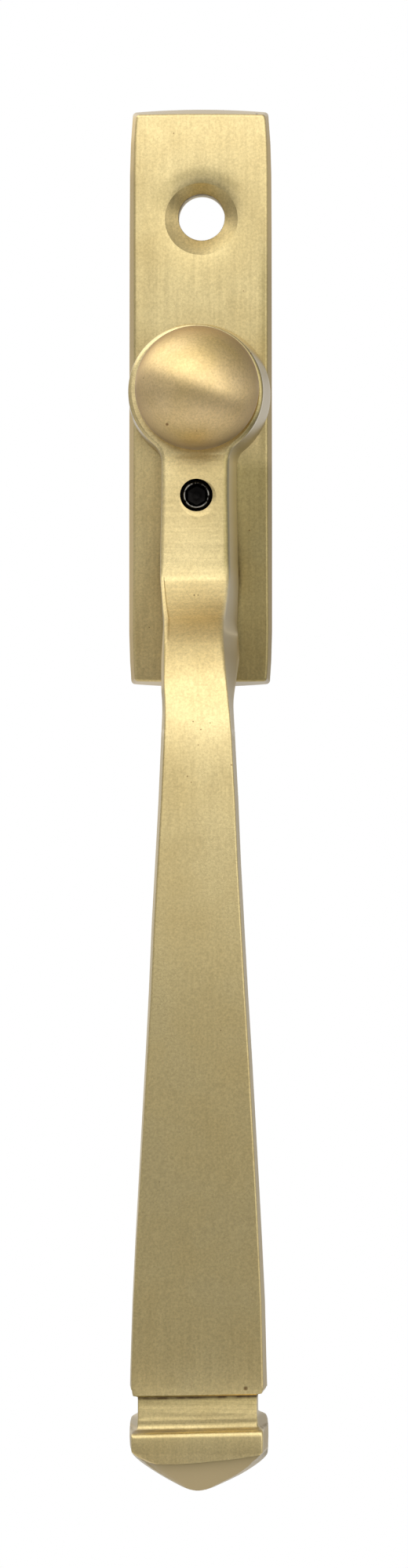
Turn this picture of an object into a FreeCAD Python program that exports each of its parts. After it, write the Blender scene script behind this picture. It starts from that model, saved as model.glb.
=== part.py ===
import FreeCAD, Part
import itertools
import os
import re

import Sketcher

# Espagnolette window handle: a slim brass plate with a lever that turns a 7 mm square spindle.
# Lengths are millimetres and angles are degrees.
# Frame: the origin lies on the spindle's axis in the plane of the plate's back, which sits on the window.
# +X is to the right seen from the room, +Z is up along the plate, and -Y points into the room.
# "Depth" is the distance in front of the plate's back, along -Y.

SIZES = {
    # backplate
    "plate_height": 69.0,
    "plate_width": 17.1,
    "plate_end_taper": 0.45,
    "plate_straight_side": 57.0,
    "plate_end_bow": 0.45,
    "plate_corner_radius": 1.2,
    "plate_thickness": 6.0,
    "plate_crown": 1.2,
    "plate_draft": 6.5,
    "plate_edge_radius": 0.35,
    "fixing_centres": 43.0,
    "fixing_hole_dia": 5.5,
    "countersink_dia": 8.7,
    "countersink_angle": 90.0,
    # bearing in the plate
    "bush_wall": 0.65,
    "bush_flange_inset": 0.4,
    "bush_flange_thickness": 0.75,
    "bush_flange_sink": 0.35,
    "recess_depth": 3.0,
    # clearances
    "press_gap": 0.02,
    "running_gap": 0.05,
    "end_gap": 0.05,
    "washer_edge_gap": 0.15,
    # rear retention
    "washer_width": 0.95,
    "thrust_washer_thickness": 0.5,
    "back_washer_thickness": 0.5,
    "wave_washer_strip": 0.25,
    "wave_washer_height": 0.55,
    "wave_washer_width": 0.8,
    "snap_ring_wire": 0.9,
    "snap_ring_opening": 24.0,
    "snap_ring_bite": 0.4,
    "spigot_back_gap": 0.3,
    # lever
    "collar_dia": 15.8,
    "collar_front_depth": 14.8,
    "lever_draft": 3.6,
    "neck_width": 7.8,
    "neck_fillet": 2.2,
    "neck_rise": 1.0,
    "neck_bend_radius": 30.0,
    "elbow_drop": 21.9,
    "elbow_spread": 0.3,
    "elbow_radius": 1.2,
    "cove_run": 5.3,
    "cove_narrowing": 1.05,
    "cove_radius": 8.0,
    "ramp_run": 8.7,
    "ramp_rise": 11.3,
    "ramp_top_radius": 10.0,
    "heel_run": 9.1,
    "heel_radius": 3.0,
    "underside_run": 5.6,
    "underside_radius": 6.0,
    "grip_root_run": 8.8,
    "grip_root_narrowing": 0.35,
    "grip_root_thickness": 6.2,
    "grip_length": 80.8,
    "grip_rise": 0.7,
    "grip_end_width": 14.95,
    "grip_end_thickness": 6.5,
    "grip_bow": 2.3,
    "grip_side_bow": 0.55,
    "grip_corner_radius": 1.1,
    "lever_edge_radius": 0.35,
    # waist and end
    "waist_length": 2.6,
    "waist_cut": 1.05,
    "waist_side_cut": 0.625,
    "cap_side_step": 0.625,
    "cap_step": 0.75,
    "cap_length": 5.0,
    "cap_shoulder_radius": 1.2,
    "cap_foot_radius": 0.8,
    "point_length": 4.2,
    "point_flat": 0.8,
    # spigot, spindle and ball
    "spigot_dia": 12.0,
    "spindle_square": 7.0,
    "spindle_reach": 35.0,
    "spindle_chamfer": 0.7,
    "collar_front_wall": 3.2,
    "ball_dia": 14.44,
    "ball_flat": 0.62,
    "stud_dia": 4.0,
    "stud_grip_in_spindle": 6.0,
    "stud_chamfer": 0.4,
    # lock screw
    "lock_drop": 12.2,
    "lock_screw_dia": 3.9,
    "lock_screw_length": 7.0,
    "lock_screw_sunk": 0.4,
    "lock_screw_travel": 3.0,
    "lock_screw_point_dia": 2.9,
    "lock_screw_point_length": 0.8,
    "lock_screw_rim": 0.35,
    "hex_across_flats": 2.0,
    "hex_depth": 2.2,
    "lock_mouth_bevel": 0.3,
    "lock_hole_gap": 0.2,
    "lock_hole_depth": 2.6,
}

doc = FreeCAD.newDocument("window_handle")
sizes = doc.addObject("Spreadsheet::Sheet", "sizes")
for row, (alias, value) in enumerate(SIZES.items(), start=1):
    sizes.set(f"A{row}", alias.replace("_", " "))
    sizes.set(f"B{row}", str(value))
    sizes.setAlias(f"B{row}", alias)

# Values that follow from the sizes above, written once.
DERIVED = {
    "elbow_front_depth": "collar_front_depth + neck_rise",
    "elbow_width": "neck_width + elbow_spread",
    "cove_drop": "elbow_drop + cove_run",
    "cove_front_depth": "elbow_front_depth + ramp_rise * cove_run / ramp_run",
    "cove_width": "neck_width - cove_narrowing",
    "ramp_top_drop": "elbow_drop + ramp_run",
    "ramp_top_depth": "elbow_front_depth + ramp_rise",
    "heel_drop": "elbow_drop + heel_run",
    "underside_drop": "heel_drop + underside_run",
    "underside_depth": "ramp_top_depth - grip_root_thickness",
    "grip_root_drop": "cove_drop + grip_root_run",
    "grip_root_width": "neck_width - grip_root_narrowing",
    "grip_end_drop": "grip_root_drop + grip_length",
    "grip_end_depth": "ramp_top_depth + grip_rise",
    "lever_back_depth": "plate_thickness - bush_flange_sink + bush_flange_thickness + end_gap",
    "fixing_face_depth": "plate_thickness - plate_crown * (fixing_centres / plate_height) ^ 2",
    "lock_face_depth": "plate_thickness - plate_crown * (2 * lock_drop / plate_height) ^ 2",
    "bush_inner_radius": "spigot_dia / 2 + running_gap",
    "bush_outer_radius": "bush_inner_radius + bush_wall",
    "bush_flange_radius": "collar_dia / 2 - bush_flange_inset",
    "ball_seat_drop": "ball_dia / 2 - ball_flat",
    "ball_centre_depth": "collar_front_depth + ball_seat_drop",
    "ball_seat_radius": "((ball_dia / 2) ^ 2 - ball_seat_drop ^ 2) ^ 0.5",
    "socket_end_depth": "collar_front_depth - collar_front_wall",
    "thrust_washer_back": "recess_depth - thrust_washer_thickness",
    "wave_washer_back": "thrust_washer_back - wave_washer_height - 2 * press_gap",
    "back_washer_back": "wave_washer_back - back_washer_thickness",
    "snap_ring_depth": "back_washer_back - press_gap - snap_ring_wire / 2",
    "washer_inner_radius": "spigot_dia / 2 + washer_edge_gap",
    "washer_outer_radius": "washer_inner_radius + washer_width",
    "recess_radius": "washer_outer_radius + washer_edge_gap",
    "waist_half_width": "grip_end_width / 2 - waist_side_cut",
    "waist_half_depth": "grip_end_thickness / 2 - waist_cut",
    "cap_half_width": "grip_end_width / 2 + cap_side_step",
    "cap_half_depth": "grip_end_thickness / 2 + cap_step",
    "cap_narrowing": "2 * cap_half_depth * tan(lever_draft)",
    "cap_top_drop": "grip_end_drop + waist_length",
    "cap_foot_drop": "cap_top_drop + cap_length",
    "cap_mid_depth": "grip_end_depth - grip_end_thickness / 2",
    "neck_share": "(lock_drop - collar_dia / 2) / (elbow_drop - collar_dia / 2)",
    "lock_screw_front": "collar_front_depth + neck_rise * neck_share - lock_screw_sunk",
}
for row, (alias, formula) in enumerate(DERIVED.items(), start=len(SIZES) + 2):
    sizes.set(f"A{row}", alias.replace("_", " "))
    sizes.set(f"B{row}", "=" + formula)
    sizes.setAlias(f"B{row}", alias)
doc.recompute()

NAMES = {*SIZES, *DERIVED}
X_AXIS = FreeCAD.Vector(1, 0, 0)
Z_AXIS = FreeCAD.Vector(0, 0, 1)


def bound(formula):
    """The same formula with every size's name pointing at the sheet."""
    return re.sub("[a-z][a-z_]*", lambda word: "sizes." * (word[0] in NAMES) + word[0], formula)


def value(formula):
    """The number that a formula gives now."""
    result = sizes.evalExpression(bound(formula))
    return float(getattr(result, "Value", result))


def new_body(label):
    body = doc.addObject("PartDesign::Body", label)
    body.Label = label
    return body


def origin_item(body, role):
    return next(item for item in body.Origin.OriginFeatures if item.Role == role)


def new_sketch(body, name, plane, offset="0"):
    """A sketch on one of the body's origin planes, moved along the plane's normal by a formula."""
    sketch = body.newObject("Sketcher::SketchObject", name)
    sketch.AttachmentSupport = [(origin_item(body, plane), "")]
    sketch.MapMode = "FlatFace"
    sketch.setExpression("AttachmentOffset.Base.z", bound(offset))
    return sketch


dimension_numbers = itertools.count(1)


def bind(sketch, constraint, formula):
    """Add a dimension that follows a formula."""
    index = sketch.addConstraint(constraint)
    name = f"size_{next(dimension_numbers)}"
    sketch.renameConstraint(index, name)
    sketch.setExpression(f"Constraints.{name}", bound(formula))


def hold(sketch, geometry, position, across, up):
    """Hold a point at distances from the sketch's origin, given as formulas."""
    bind(sketch, Sketcher.Constraint("DistanceX", geometry, position, value(across)), across)
    bind(sketch, Sketcher.Constraint("DistanceY", geometry, position, value(up)), up)


def add_circle(sketch, across, up, radius):
    centre = FreeCAD.Vector(value(across), value(up), 0)
    circle = sketch.addGeometry(Part.Circle(centre, Z_AXIS, value(radius)), False)
    hold(sketch, circle, 3, across, up)
    bind(sketch, Sketcher.Constraint("Radius", circle, value(radius)), radius)


def arc_between(start, end, radius, bulge):
    """An arc of under half a turn that bulges to the left (+1) or the right (-1) of the way from start to end."""
    chord = end - start
    half = chord.Length / 2
    sagitta = radius - (radius**2 - half**2) ** 0.5
    left = FreeCAD.Vector(-chord.y, chord.x, 0).normalize()
    return Part.Arc(start, (start + end) * 0.5 + left * (bulge * sagitta), end)


def middle_of(sketch, geometry):
    edge = sketch.Geometry[geometry].toShape()
    return edge.valueAt((edge.FirstParameter + edge.LastParameter) / 2)


def add_loop(sketch, corners, arcs=None, rounds=None):
    """A closed outline. corners are pairs of formulas. arcs gives, for the edge that leaves a corner, its radius
    and the side that it bulges to. rounds gives the radius that rounds a corner."""
    arcs = arcs or {}
    points = [FreeCAD.Vector(value(across), value(up), 0) for across, up in corners]
    edges = []
    for number, start in enumerate(points):
        end = points[(number + 1) % len(points)]
        if number in arcs:
            radius, bulge = arcs[number]
            edge = sketch.addGeometry(arc_between(start, end, value(radius), bulge), False)
            bind(sketch, Sketcher.Constraint("Radius", edge, value(radius)), radius)
        else:
            edge = sketch.addGeometry(Part.LineSegment(start, end), False)
        first = 1 if sketch.getPoint(edge, 1).distanceToPoint(start) < 1e-6 else 2
        edges.append((edge, first, 3 - first))
    for number, (edge, first, _) in enumerate(edges):
        before, _, last = edges[number - 1]
        sketch.addConstraint(Sketcher.Constraint("Coincident", before, last, edge, first))
        hold(sketch, edge, first, *corners[number])
    for number, radius in (rounds or {}).items():
        edge, before = edges[number][0], edges[number - 1][0]
        count = sketch.GeometryCount
        sketch.fillet(before, edge, middle_of(sketch, before), middle_of(sketch, edge), value(radius), True, True)
        arc = next(new for new in range(count, sketch.GeometryCount) if hasattr(sketch.Geometry[new], "Radius"))
        bind(sketch, Sketcher.Constraint("Radius", arc, value(radius)), radius)


def pad(body, name, sketch, length, draft="0"):
    feature = body.newObject("PartDesign::Pad", name)
    feature.Profile = sketch
    feature.setExpression("Length", bound(length))
    feature.setExpression("TaperAngle", bound(draft))
    doc.recompute()
    return feature


def pocket(body, name, sketch, length, reverse=False, midplane=False):
    """A cut against the sketch's normal, or along it where reverse is set."""
    before = body.Tip.Shape.Volume
    feature = body.newObject("PartDesign::Pocket", name)
    feature.Profile = sketch
    feature.setExpression("Length", bound(length))
    feature.Reversed = reverse
    feature.Midplane = midplane
    doc.recompute()
    if feature.Shape.Volume >= before - 1e-6:
        raise RuntimeError(f"{name} cuts nothing")
    return feature


def revolve(body, name, sketch, cut=False):
    """A turned form, or a turned cut, about the spindle's axis."""
    feature = body.newObject("PartDesign::Groove" if cut else "PartDesign::Revolution", name)
    feature.Profile = sketch
    feature.ReferenceAxis = (origin_item(body, "Y_Axis"), [""])
    feature.Angle = 360
    doc.recompute()
    return feature


def edges_where(shape, test):
    return [f"Edge{number}" for number, edge in enumerate(shape.Edges, start=1) if test(edge)]


def round_edges(body, name, edges, radius):
    base = body.Tip
    feature = body.newObject("PartDesign::Fillet", name)
    feature.Base = (base, edges)
    feature.setExpression("Radius", bound(radius))
    doc.recompute()
    return feature


def bevel_edges(body, name, edges, size):
    base = body.Tip
    feature = body.newObject("PartDesign::Chamfer", name)
    feature.Base = (base, edges)
    feature.setExpression("Size", bound(size))
    doc.recompute()
    return feature


def near(first, second, tolerance=0.01):
    return abs(first - second) < tolerance


def add_ring(label, outer_radius, inner_radius, back, thickness):
    """A plain washer whose back face lies at a given depth."""
    body = new_body(label)
    sketch = new_sketch(body, label + "_outline", "XZ_Plane", back)
    add_circle(sketch, "0", "0", outer_radius)
    add_circle(sketch, "0", "0", inner_radius)
    pad(body, label + "_disc", sketch, thickness)
    return body


def backplate():
    """Cast brass plate: drafted sides, a face crowned along its length, and a recess in the back."""
    body = new_body("backplate")
    half_width = "plate_width / 2"
    half_end = "(plate_width / 2 - plate_end_taper)"
    straight = "plate_straight_side / 2"
    shoulder = "(plate_height / 2 - plate_end_bow)"
    side_radius = f"(plate_end_taper ^ 2 + ({shoulder} - {straight}) ^ 2) / (2 * plate_end_taper)"
    end_radius = f"({half_end} ^ 2 + plate_end_bow ^ 2) / (2 * plate_end_bow)"
    corners = [
        (half_width, f"- {straight}"),
        (half_width, straight),
        (half_end, shoulder),
        (f"- {half_end}", shoulder),
        (f"- {half_width}", straight),
        (f"- {half_width}", f"- {straight}"),
        (f"- {half_end}", f"- {shoulder}"),
        (half_end, f"- {shoulder}"),
    ]
    arcs = {1: (side_radius, -1), 2: (end_radius, -1), 3: (side_radius, -1)}
    arcs.update({5: (side_radius, -1), 6: (end_radius, -1), 7: (side_radius, -1)})
    outline = new_sketch(body, "plate_outline", "XZ_Plane")
    rounds = {number: "plate_corner_radius" for number in (2, 3, 6, 7)}
    add_loop(outline, corners, arcs, rounds)
    pad(body, "plate_slab", outline, "plate_thickness", "- plate_draft")

    crown_radius = "((plate_height / 2) ^ 2 + plate_crown ^ 2) / (2 * plate_crown)"
    end_depth = "- (plate_thickness - plate_crown)"
    above = "- 2 * plate_thickness"
    crown = new_sketch(body, "plate_crown_side", "YZ_Plane")
    crown_corners = [
        (end_depth, "- plate_height / 2"),
        (end_depth, "plate_height / 2"),
        (above, "plate_height / 2"),
        (above, "- plate_height / 2"),
    ]
    add_loop(crown, crown_corners, {0: (crown_radius, 1)})
    pocket(body, "plate_crown_cut", crown, "2 * plate_width", midplane=True)
    rim = edges_where(body.Tip.Shape, is_plate_rim)
    round_edges(body, "plate_rim", rim, "plate_edge_radius")

    recess = new_sketch(body, "recess_circle", "XZ_Plane")
    add_circle(recess, "0", "0", "recess_radius")
    pocket(body, "recess", recess, "recess_depth", reverse=True)
    bore = new_sketch(body, "bore_circle", "XZ_Plane")
    add_circle(bore, "0", "0", "bush_outer_radius + press_gap")
    pocket(body, "bore", bore, "2 * plate_thickness", reverse=True)
    seat = new_sketch(body, "flange_seat_circle", "XZ_Plane", "plate_thickness")
    add_circle(seat, "0", "0", "bush_flange_radius + press_gap")
    pocket(body, "flange_seat", seat, "bush_flange_sink")

    fixings = new_sketch(body, "fixing_circles", "XZ_Plane")
    for side in ("fixing_centres / 2", "- fixing_centres / 2"):
        add_circle(fixings, "0", side, "fixing_hole_dia / 2")
    pocket(body, "fixing_holes", fixings, "2 * plate_thickness", reverse=True)
    for number, side in enumerate((1, -1), start=1):
        add_countersink(body, number, side)

    lock = new_sketch(body, "lock_hole_circle", "XZ_Plane", "plate_thickness")
    add_circle(lock, "0", "- lock_drop", "lock_screw_dia / 2 + lock_hole_gap")
    pocket(body, "lock_hole", lock, "plate_thickness - lock_face_depth + lock_hole_depth")
    return body


def is_plate_rim(edge):
    """The edges round the crowned front face."""
    forward = -edge.BoundBox.YMin
    lowest = -edge.BoundBox.YMax
    return lowest > value("plate_thickness - plate_crown") - 0.1 and forward > 0


def add_countersink(body, number, side):
    """One countersink, cut as a cone whose width is right where it meets the crowned face."""
    cone = body.newObject("PartDesign::SubtractiveCone", f"countersink_{number}")
    spread = "tan(countersink_angle / 2)"
    cone.setExpression("Radius1", bound("fixing_hole_dia / 2"))
    top = f"countersink_dia / 2 + (plate_thickness - fixing_face_depth) * {spread}"
    cone.setExpression("Radius2", bound(top))
    cone.setExpression("Height", bound(f"({top} - fixing_hole_dia / 2) / {spread}"))
    cone.AttachmentSupport = [(origin_item(body, "XZ_Plane"), "")]
    cone.MapMode = "FlatFace"
    cone.setExpression("AttachmentOffset.Base.y", bound(f"{side} * fixing_centres / 2"))
    height = f"({top} - fixing_hole_dia / 2) / {spread}"
    cone.setExpression("AttachmentOffset.Base.z", bound(f"plate_thickness - {height}"))
    doc.recompute()


def bearing_bush():
    """Moulded flanged bush: its barrel is pressed in the bore, and the lever's collar runs on its flange."""
    body = new_body("bearing_bush")
    sketch = new_sketch(body, "bush_section", "XY_Plane")
    seat = "- (plate_thickness - bush_flange_sink)"
    front = "- (plate_thickness - bush_flange_sink + bush_flange_thickness)"
    corners = [
        ("bush_inner_radius", "- recess_depth"),
        ("bush_inner_radius", front),
        ("bush_flange_radius", front),
        ("bush_flange_radius", seat),
        ("bush_outer_radius", seat),
        ("bush_outer_radius", "- recess_depth"),
    ]
    add_loop(sketch, corners)
    revolve(body, "bush_turned", sketch)
    return body


def wave_washer():
    """Spring steel washer with three waves, which presses the lever's collar on to the bush."""
    feature = doc.addObject("Part::Feature", "wave_washer")
    waves = 3
    steps = 8 * waves
    inner = value("washer_inner_radius + washer_edge_gap")
    outer = inner + value("wave_washer_width")
    strip = value("wave_washer_strip")
    swing = (value("wave_washer_height") - strip) / 2
    middle = value("wave_washer_back + press_gap + wave_washer_height / 2")

    def wavy_circle(radius, lift):
        points = []
        for step in range(steps):
            turn = 360 * step / steps
            point = FreeCAD.Rotation(Z_AXIS, turn).multVec(FreeCAD.Vector(radius, 0, 0))
            wave = FreeCAD.Rotation(Z_AXIS, waves * turn).multVec(X_AXIS).x
            points.append(FreeCAD.Vector(point.x, -(middle + swing * wave + lift), point.y))
        curve = Part.BSplineCurve()
        curve.interpolate(points, PeriodicFlag=True)
        return curve.toShape()

    rims = [wavy_circle(inner, strip / 2), wavy_circle(outer, strip / 2)]
    rims += [wavy_circle(outer, -strip / 2), wavy_circle(inner, -strip / 2)]
    faces = [Part.makeRuledSurface(rims[number - 1], rims[number]) for number in range(4)]
    shell = Part.makeShell(faces)
    solid = Part.makeSolid(shell)
    if solid.Volume < 0:
        solid.reverse()
    feature.Shape = solid
    return feature


def snap_ring():
    """Round wire ring, open on one side, sprung into the spigot's groove."""
    ring = doc.addObject("Part::Torus", "snap_ring")
    ring.setExpression("Radius1", bound("spigot_dia / 2 + snap_ring_wire / 2 - snap_ring_bite"))
    ring.setExpression("Radius2", bound("snap_ring_wire / 2"))
    ring.setExpression("Angle3", bound("360 - snap_ring_opening"))
    ring.Placement = FreeCAD.Placement(
        FreeCAD.Vector(0, -value("snap_ring_depth"), 0), FreeCAD.Rotation(X_AXIS, 90)
    )
    ring.setExpression("Placement.Base.y", bound("- snap_ring_depth"))
    return ring


def spindle():
    """Square steel bar with bevelled ends, tapped at the front for the ball's stud."""
    body = new_body("spindle")
    half = "spindle_square / 2"
    square = new_sketch(body, "spindle_section", "XZ_Plane", "- spindle_reach")
    add_loop(square, [(half, half), (f"- {half}", half), (f"- {half}", f"- {half}"), (half, f"- {half}")])
    front = "socket_end_depth - end_gap"
    bar = pad(body, "spindle_bar", square, f"spindle_reach + {front}")
    end_edges = edges_where(bar.Shape, lambda edge: near(edge.BoundBox.YLength, 0))
    bevel_edges(body, "spindle_ends", end_edges, "spindle_chamfer")
    tapped = new_sketch(body, "tapped_hole_circle", "XZ_Plane", front)
    add_circle(tapped, "0", "0", "stud_dia / 2 + running_gap")
    pocket(body, "tapped_hole", tapped, "stud_grip_in_spindle + stud_dia / 2")
    return body


def ball_knob():
    """Turned brass ball with a flat seat on the collar and a stud that draws the spindle into its socket."""
    body = new_body("ball_knob")
    sketch = new_sketch(body, "ball_section", "XY_Plane")
    stud_end = "(socket_end_depth - end_gap - stud_grip_in_spindle)"
    corners = [
        ("0", "- (ball_centre_depth + ball_dia / 2)"),
        ("ball_dia / 2", "- ball_centre_depth"),
        ("ball_seat_radius", "- collar_front_depth"),
        ("stud_dia / 2", "- collar_front_depth"),
        ("stud_dia / 2", f"- ({stud_end} + stud_chamfer)"),
        ("stud_dia / 2 - stud_chamfer", f"- {stud_end}"),
        ("0", f"- {stud_end}"),
    ]
    add_loop(sketch, corners, {0: ("ball_dia / 2", -1), 1: ("ball_dia / 2", -1)})
    revolve(body, "ball_turned", sketch)
    return body


def lever_half_width(width, depth):
    """Half the width of the drafted casting at its back, from its width at a given depth."""
    return f"({width} / 2 + ({depth} - lever_back_depth) * tan(lever_draft))"


def lever():
    """Brass casting: collar, neck, elbow and tapered grip, ending in a waist and a pyramid point."""
    body = new_body("lever")
    add_lever_blank(body)
    cut_lever_profile(body)
    round_lever_front(body)
    add_lever_end(body)
    add_spigot(body)
    cut_lock_screw_hole(body)
    return body


def add_lever_blank(body):
    """The casting's front view: a round collar with the arm below it, and drafted sides.
    It runs on past the grip's end by its own draft, and the side view then cuts it square."""
    collar = lever_half_width("collar_dia", "collar_front_depth")
    neck = lever_half_width("neck_width", "collar_front_depth")
    elbow = lever_half_width("elbow_width", "elbow_front_depth")
    cove = lever_half_width("cove_width", "cove_front_depth")
    root = lever_half_width("grip_root_width", "ramp_top_depth")
    end = lever_half_width("grip_end_width", "grip_end_depth")
    fillet_across = f"({neck} + neck_fillet)"
    fillet_up = f"(0 - (({collar} + neck_fillet) ^ 2 - {fillet_across} ^ 2) ^ 0.5)"
    share = f"({collar} / ({collar} + neck_fillet))"
    right = [
        ("0", collar),
        (collar, "0"),
        (f"{fillet_across} * {share}", f"{fillet_up} * {share}"),
        (neck, fillet_up),
        (neck, "- lock_drop"),
        (elbow, "- elbow_drop"),
        (cove, "- cove_drop"),
        (root, "- grip_root_drop"),
        (end, "- (grip_end_drop + grip_end_depth * tan(lever_draft))"),
    ]
    left = [(f"-1 * {across}", up) for across, up in reversed(right[1:])]
    half_run = "((grip_end_drop - grip_root_drop) / 2)"
    side_radius = f"({half_run} ^ 2 + grip_side_bow ^ 2) / (2 * grip_side_bow)"
    arcs = {number: (collar, 1) for number in (0, 1, 15, 16)}
    arcs.update({number: ("neck_fillet", -1) for number in (2, 14)})
    arcs.update({number: (side_radius, 1) for number in (7, 9)})
    rounds = {6: "cove_radius", 11: "cove_radius"}
    outline = new_sketch(body, "lever_outline", "XZ_Plane", "lever_back_depth")
    add_loop(outline, right + left, arcs, rounds)
    pad(body, "lever_blank", outline, "grip_end_depth", "- lever_draft")


def cut_lever_profile(body):
    """The casting's side view: a low neck, a steep ramp at the elbow and a long bowed grip."""
    front_chord = "((grip_end_drop - ramp_top_drop) / 2)"
    front_radius = f"({front_chord} ^ 2 + grip_bow ^ 2) / (2 * grip_bow)"
    back_chord = "((grip_end_drop - underside_drop) / 2)"
    back_radius = f"({back_chord} ^ 2 + grip_bow ^ 2) / (2 * grip_bow)"
    above = "collar_dia"
    end = "- grip_end_drop"
    inner = [
        ("- lever_back_depth", above),
        ("- collar_front_depth", above),
        ("- collar_front_depth", "- collar_dia / 2"),
        ("- elbow_front_depth", "- elbow_drop"),
        ("- ramp_top_depth", "- ramp_top_drop"),
        ("- grip_end_depth", end),
        ("- (grip_end_depth - grip_end_thickness)", end),
        ("- underside_depth", "- underside_drop"),
        ("- lever_back_depth", "- heel_drop"),
    ]
    arcs = {4: (front_radius, -1), 6: (back_radius, 1)}
    rounds = {2: "neck_bend_radius", 3: "elbow_radius", 8: "heel_radius"}
    side = new_sketch(body, "lever_side", "YZ_Plane")
    add_loop(side, inner, arcs, rounds)
    margin = "plate_height"
    outer = [
        (margin, margin),
        (f"- 2 * {margin}", margin),
        (f"- 2 * {margin}", f"- 3 * {margin}"),
        (margin, f"- 3 * {margin}"),
    ]
    add_loop(side, outer)
    pocket(body, "lever_profile", side, "4 * collar_dia", midplane=True)
    ramp_top = edges_where(body.Tip.Shape, crosswise_edge("ramp_top_depth", "ramp_top_drop"))
    round_edges(body, "ramp_top", ramp_top, "ramp_top_radius")
    underside = edges_where(body.Tip.Shape, crosswise_edge("underside_depth", "underside_drop"))
    round_edges(body, "underside", underside, "underside_radius")


def crosswise_edge(depth, drop):
    """A test for the straight edge along X at a given depth and drop."""

    def test(edge):
        box = edge.BoundBox
        return near(-box.YMin, value(depth)) and near(-box.ZMin, value(drop)) and box.XLength > 1

    return test


def round_lever_front(body):
    """The grip's end corners and the long edges round the front face are eased."""
    corners = edges_where(body.Tip.Shape, is_grip_corner)
    round_edges(body, "grip_corners", corners, "grip_corner_radius")
    shape = body.Tip.Shape.Solids[0]
    rim = edges_where(shape, lambda edge: is_front_rim(shape, edge))
    round_edges(body, "front_rim", rim, "lever_edge_radius")


def is_grip_corner(edge):
    """The two edges between the grip's end and its drafted sides."""
    box = edge.BoundBox
    return near(box.ZMax, -value("grip_end_drop")) and near(box.ZLength, 0) and box.YLength > box.XLength


def is_front_rim(shape, edge):
    """An edge where a face that looks forward meets one of the casting's drafted sides."""
    middle = edge.valueAt((edge.FirstParameter + edge.LastParameter) / 2)
    normals = []
    for face in shape.ancestorsOfType(edge, Part.Face):
        normals.append(face.normalAt(*face.Surface.parameter(middle)))
    draft = value("sin(lever_draft)")
    sides = [normal for normal in normals if near(abs(normal.y), draft, 0.02)]
    fronts = [normal for normal in normals if near(normal.x, 0) and normal.y < -3 * draft]
    return len(sides) == 1 and len(fronts) == 1


def add_lever_end(body):
    """The cap with its pyramid point, and the waist that joins it to the grip."""
    cap = new_sketch(body, "cap_section", "XY_Plane", "- cap_top_drop")
    add_loop(cap, box_corners("cap_half_width", "cap_half_depth", "cap_narrowing"))
    pad_down(body, "cap", cap, "cap_length")
    foot = new_sketch(body, "cap_foot_section", "XY_Plane", "- cap_foot_drop")
    add_loop(foot, box_corners("cap_half_width", "cap_half_depth", "cap_narrowing"))
    tip = new_sketch(body, "point_section", "XY_Plane", "- (cap_foot_drop + point_length)")
    add_loop(tip, box_corners("point_flat / 2", "point_flat / 4"))
    point = body.newObject("PartDesign::AdditiveLoft", "pyramid_point")
    point.Profile = foot
    point.Sections = [tip]
    point.Ruled = True
    doc.recompute()
    foot_rim = edges_where(body.Tip.Shape, lies_at_drop("cap_foot_drop"))
    round_edges(body, "cap_foot", foot_rim, "cap_foot_radius")
    shoulder = edges_where(body.Tip.Shape, lies_at_drop("cap_top_drop"))
    round_edges(body, "cap_shoulder", shoulder, "cap_shoulder_radius")
    waist = new_sketch(body, "waist_section", "XY_Plane", "- (grip_end_drop - waist_cut)")
    add_loop(waist, box_corners("waist_half_width", "waist_half_depth"))
    pad_down(body, "waist", waist, "waist_cut + waist_length + cap_length / 2")


def lies_at_drop(drop):
    """A test for edges that lie in the level plane at a given drop."""

    def test(edge):
        return near(edge.BoundBox.ZMax, -value(drop)) and near(edge.BoundBox.ZLength, 0)

    return test


def box_corners(half_width, half_depth, narrowing="0"):
    """A rectangle round the middle of the grip's end, narrower at its front where narrowing is given."""
    front = f"- (cap_mid_depth + {half_depth})"
    back = f"- (cap_mid_depth - {half_depth})"
    front_half = f"({half_width} - {narrowing})"
    return [(front_half, front), (half_width, back), (f"- {half_width}", back), (f"- {front_half}", front)]


def pad_down(body, name, sketch, length):
    feature = pad(body, name, sketch, length)
    feature.Reversed = True
    doc.recompute()


def add_spigot(body):
    """Round spigot that turns in the bush, with the square socket, the stud's hole and the ring's groove."""
    spigot = new_sketch(body, "spigot_circle", "XZ_Plane", "spigot_back_gap")
    add_circle(spigot, "0", "0", "spigot_dia / 2")
    pad(body, "spigot", spigot, "lever_back_depth - spigot_back_gap + socket_end_depth / 4")
    half = "(spindle_square / 2 + running_gap)"
    socket = new_sketch(body, "socket_section", "XZ_Plane")
    add_loop(socket, [(half, half), (f"- {half}", half), (f"- {half}", f"- {half}"), (half, f"- {half}")])
    pocket(body, "square_socket", socket, "socket_end_depth", reverse=True)
    stud = new_sketch(body, "stud_hole_circle", "XZ_Plane")
    add_circle(stud, "0", "0", "stud_dia / 2 + running_gap")
    pocket(body, "stud_hole", stud, "grip_end_depth", reverse=True)
    groove = body.newObject("PartDesign::SubtractiveTorus", "ring_groove")
    groove.AttachmentSupport = [(origin_item(body, "XZ_Plane"), "")]
    groove.MapMode = "FlatFace"
    groove.setExpression("AttachmentOffset.Base.z", bound("snap_ring_depth"))
    groove.setExpression("Radius1", bound("spigot_dia / 2 + snap_ring_wire / 2 - snap_ring_bite"))
    groove.setExpression("Radius2", bound("snap_ring_wire / 2 + press_gap"))
    doc.recompute()


def cut_lock_screw_hole(body):
    hole = new_sketch(body, "lock_screw_circle", "XZ_Plane")
    add_circle(hole, "0", "- lock_drop", "lock_screw_dia / 2 + running_gap")
    pocket(body, "lock_screw_hole", hole, "grip_end_depth", reverse=True)
    mouth = edges_where(body.Tip.Shape, is_lock_mouth)
    bevel_edges(body, "lock_mouth", mouth, "lock_mouth_bevel")


def is_lock_mouth(edge):
    """The rim of the set screw's hole in the neck's front face."""
    box = edge.BoundBox
    radius = value("lock_screw_dia / 2 + running_gap")
    round_the_screw = near(box.XMax, radius) and near(box.XMin, -radius)
    return round_the_screw and -box.YMax > value("collar_front_depth") - 1


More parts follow.
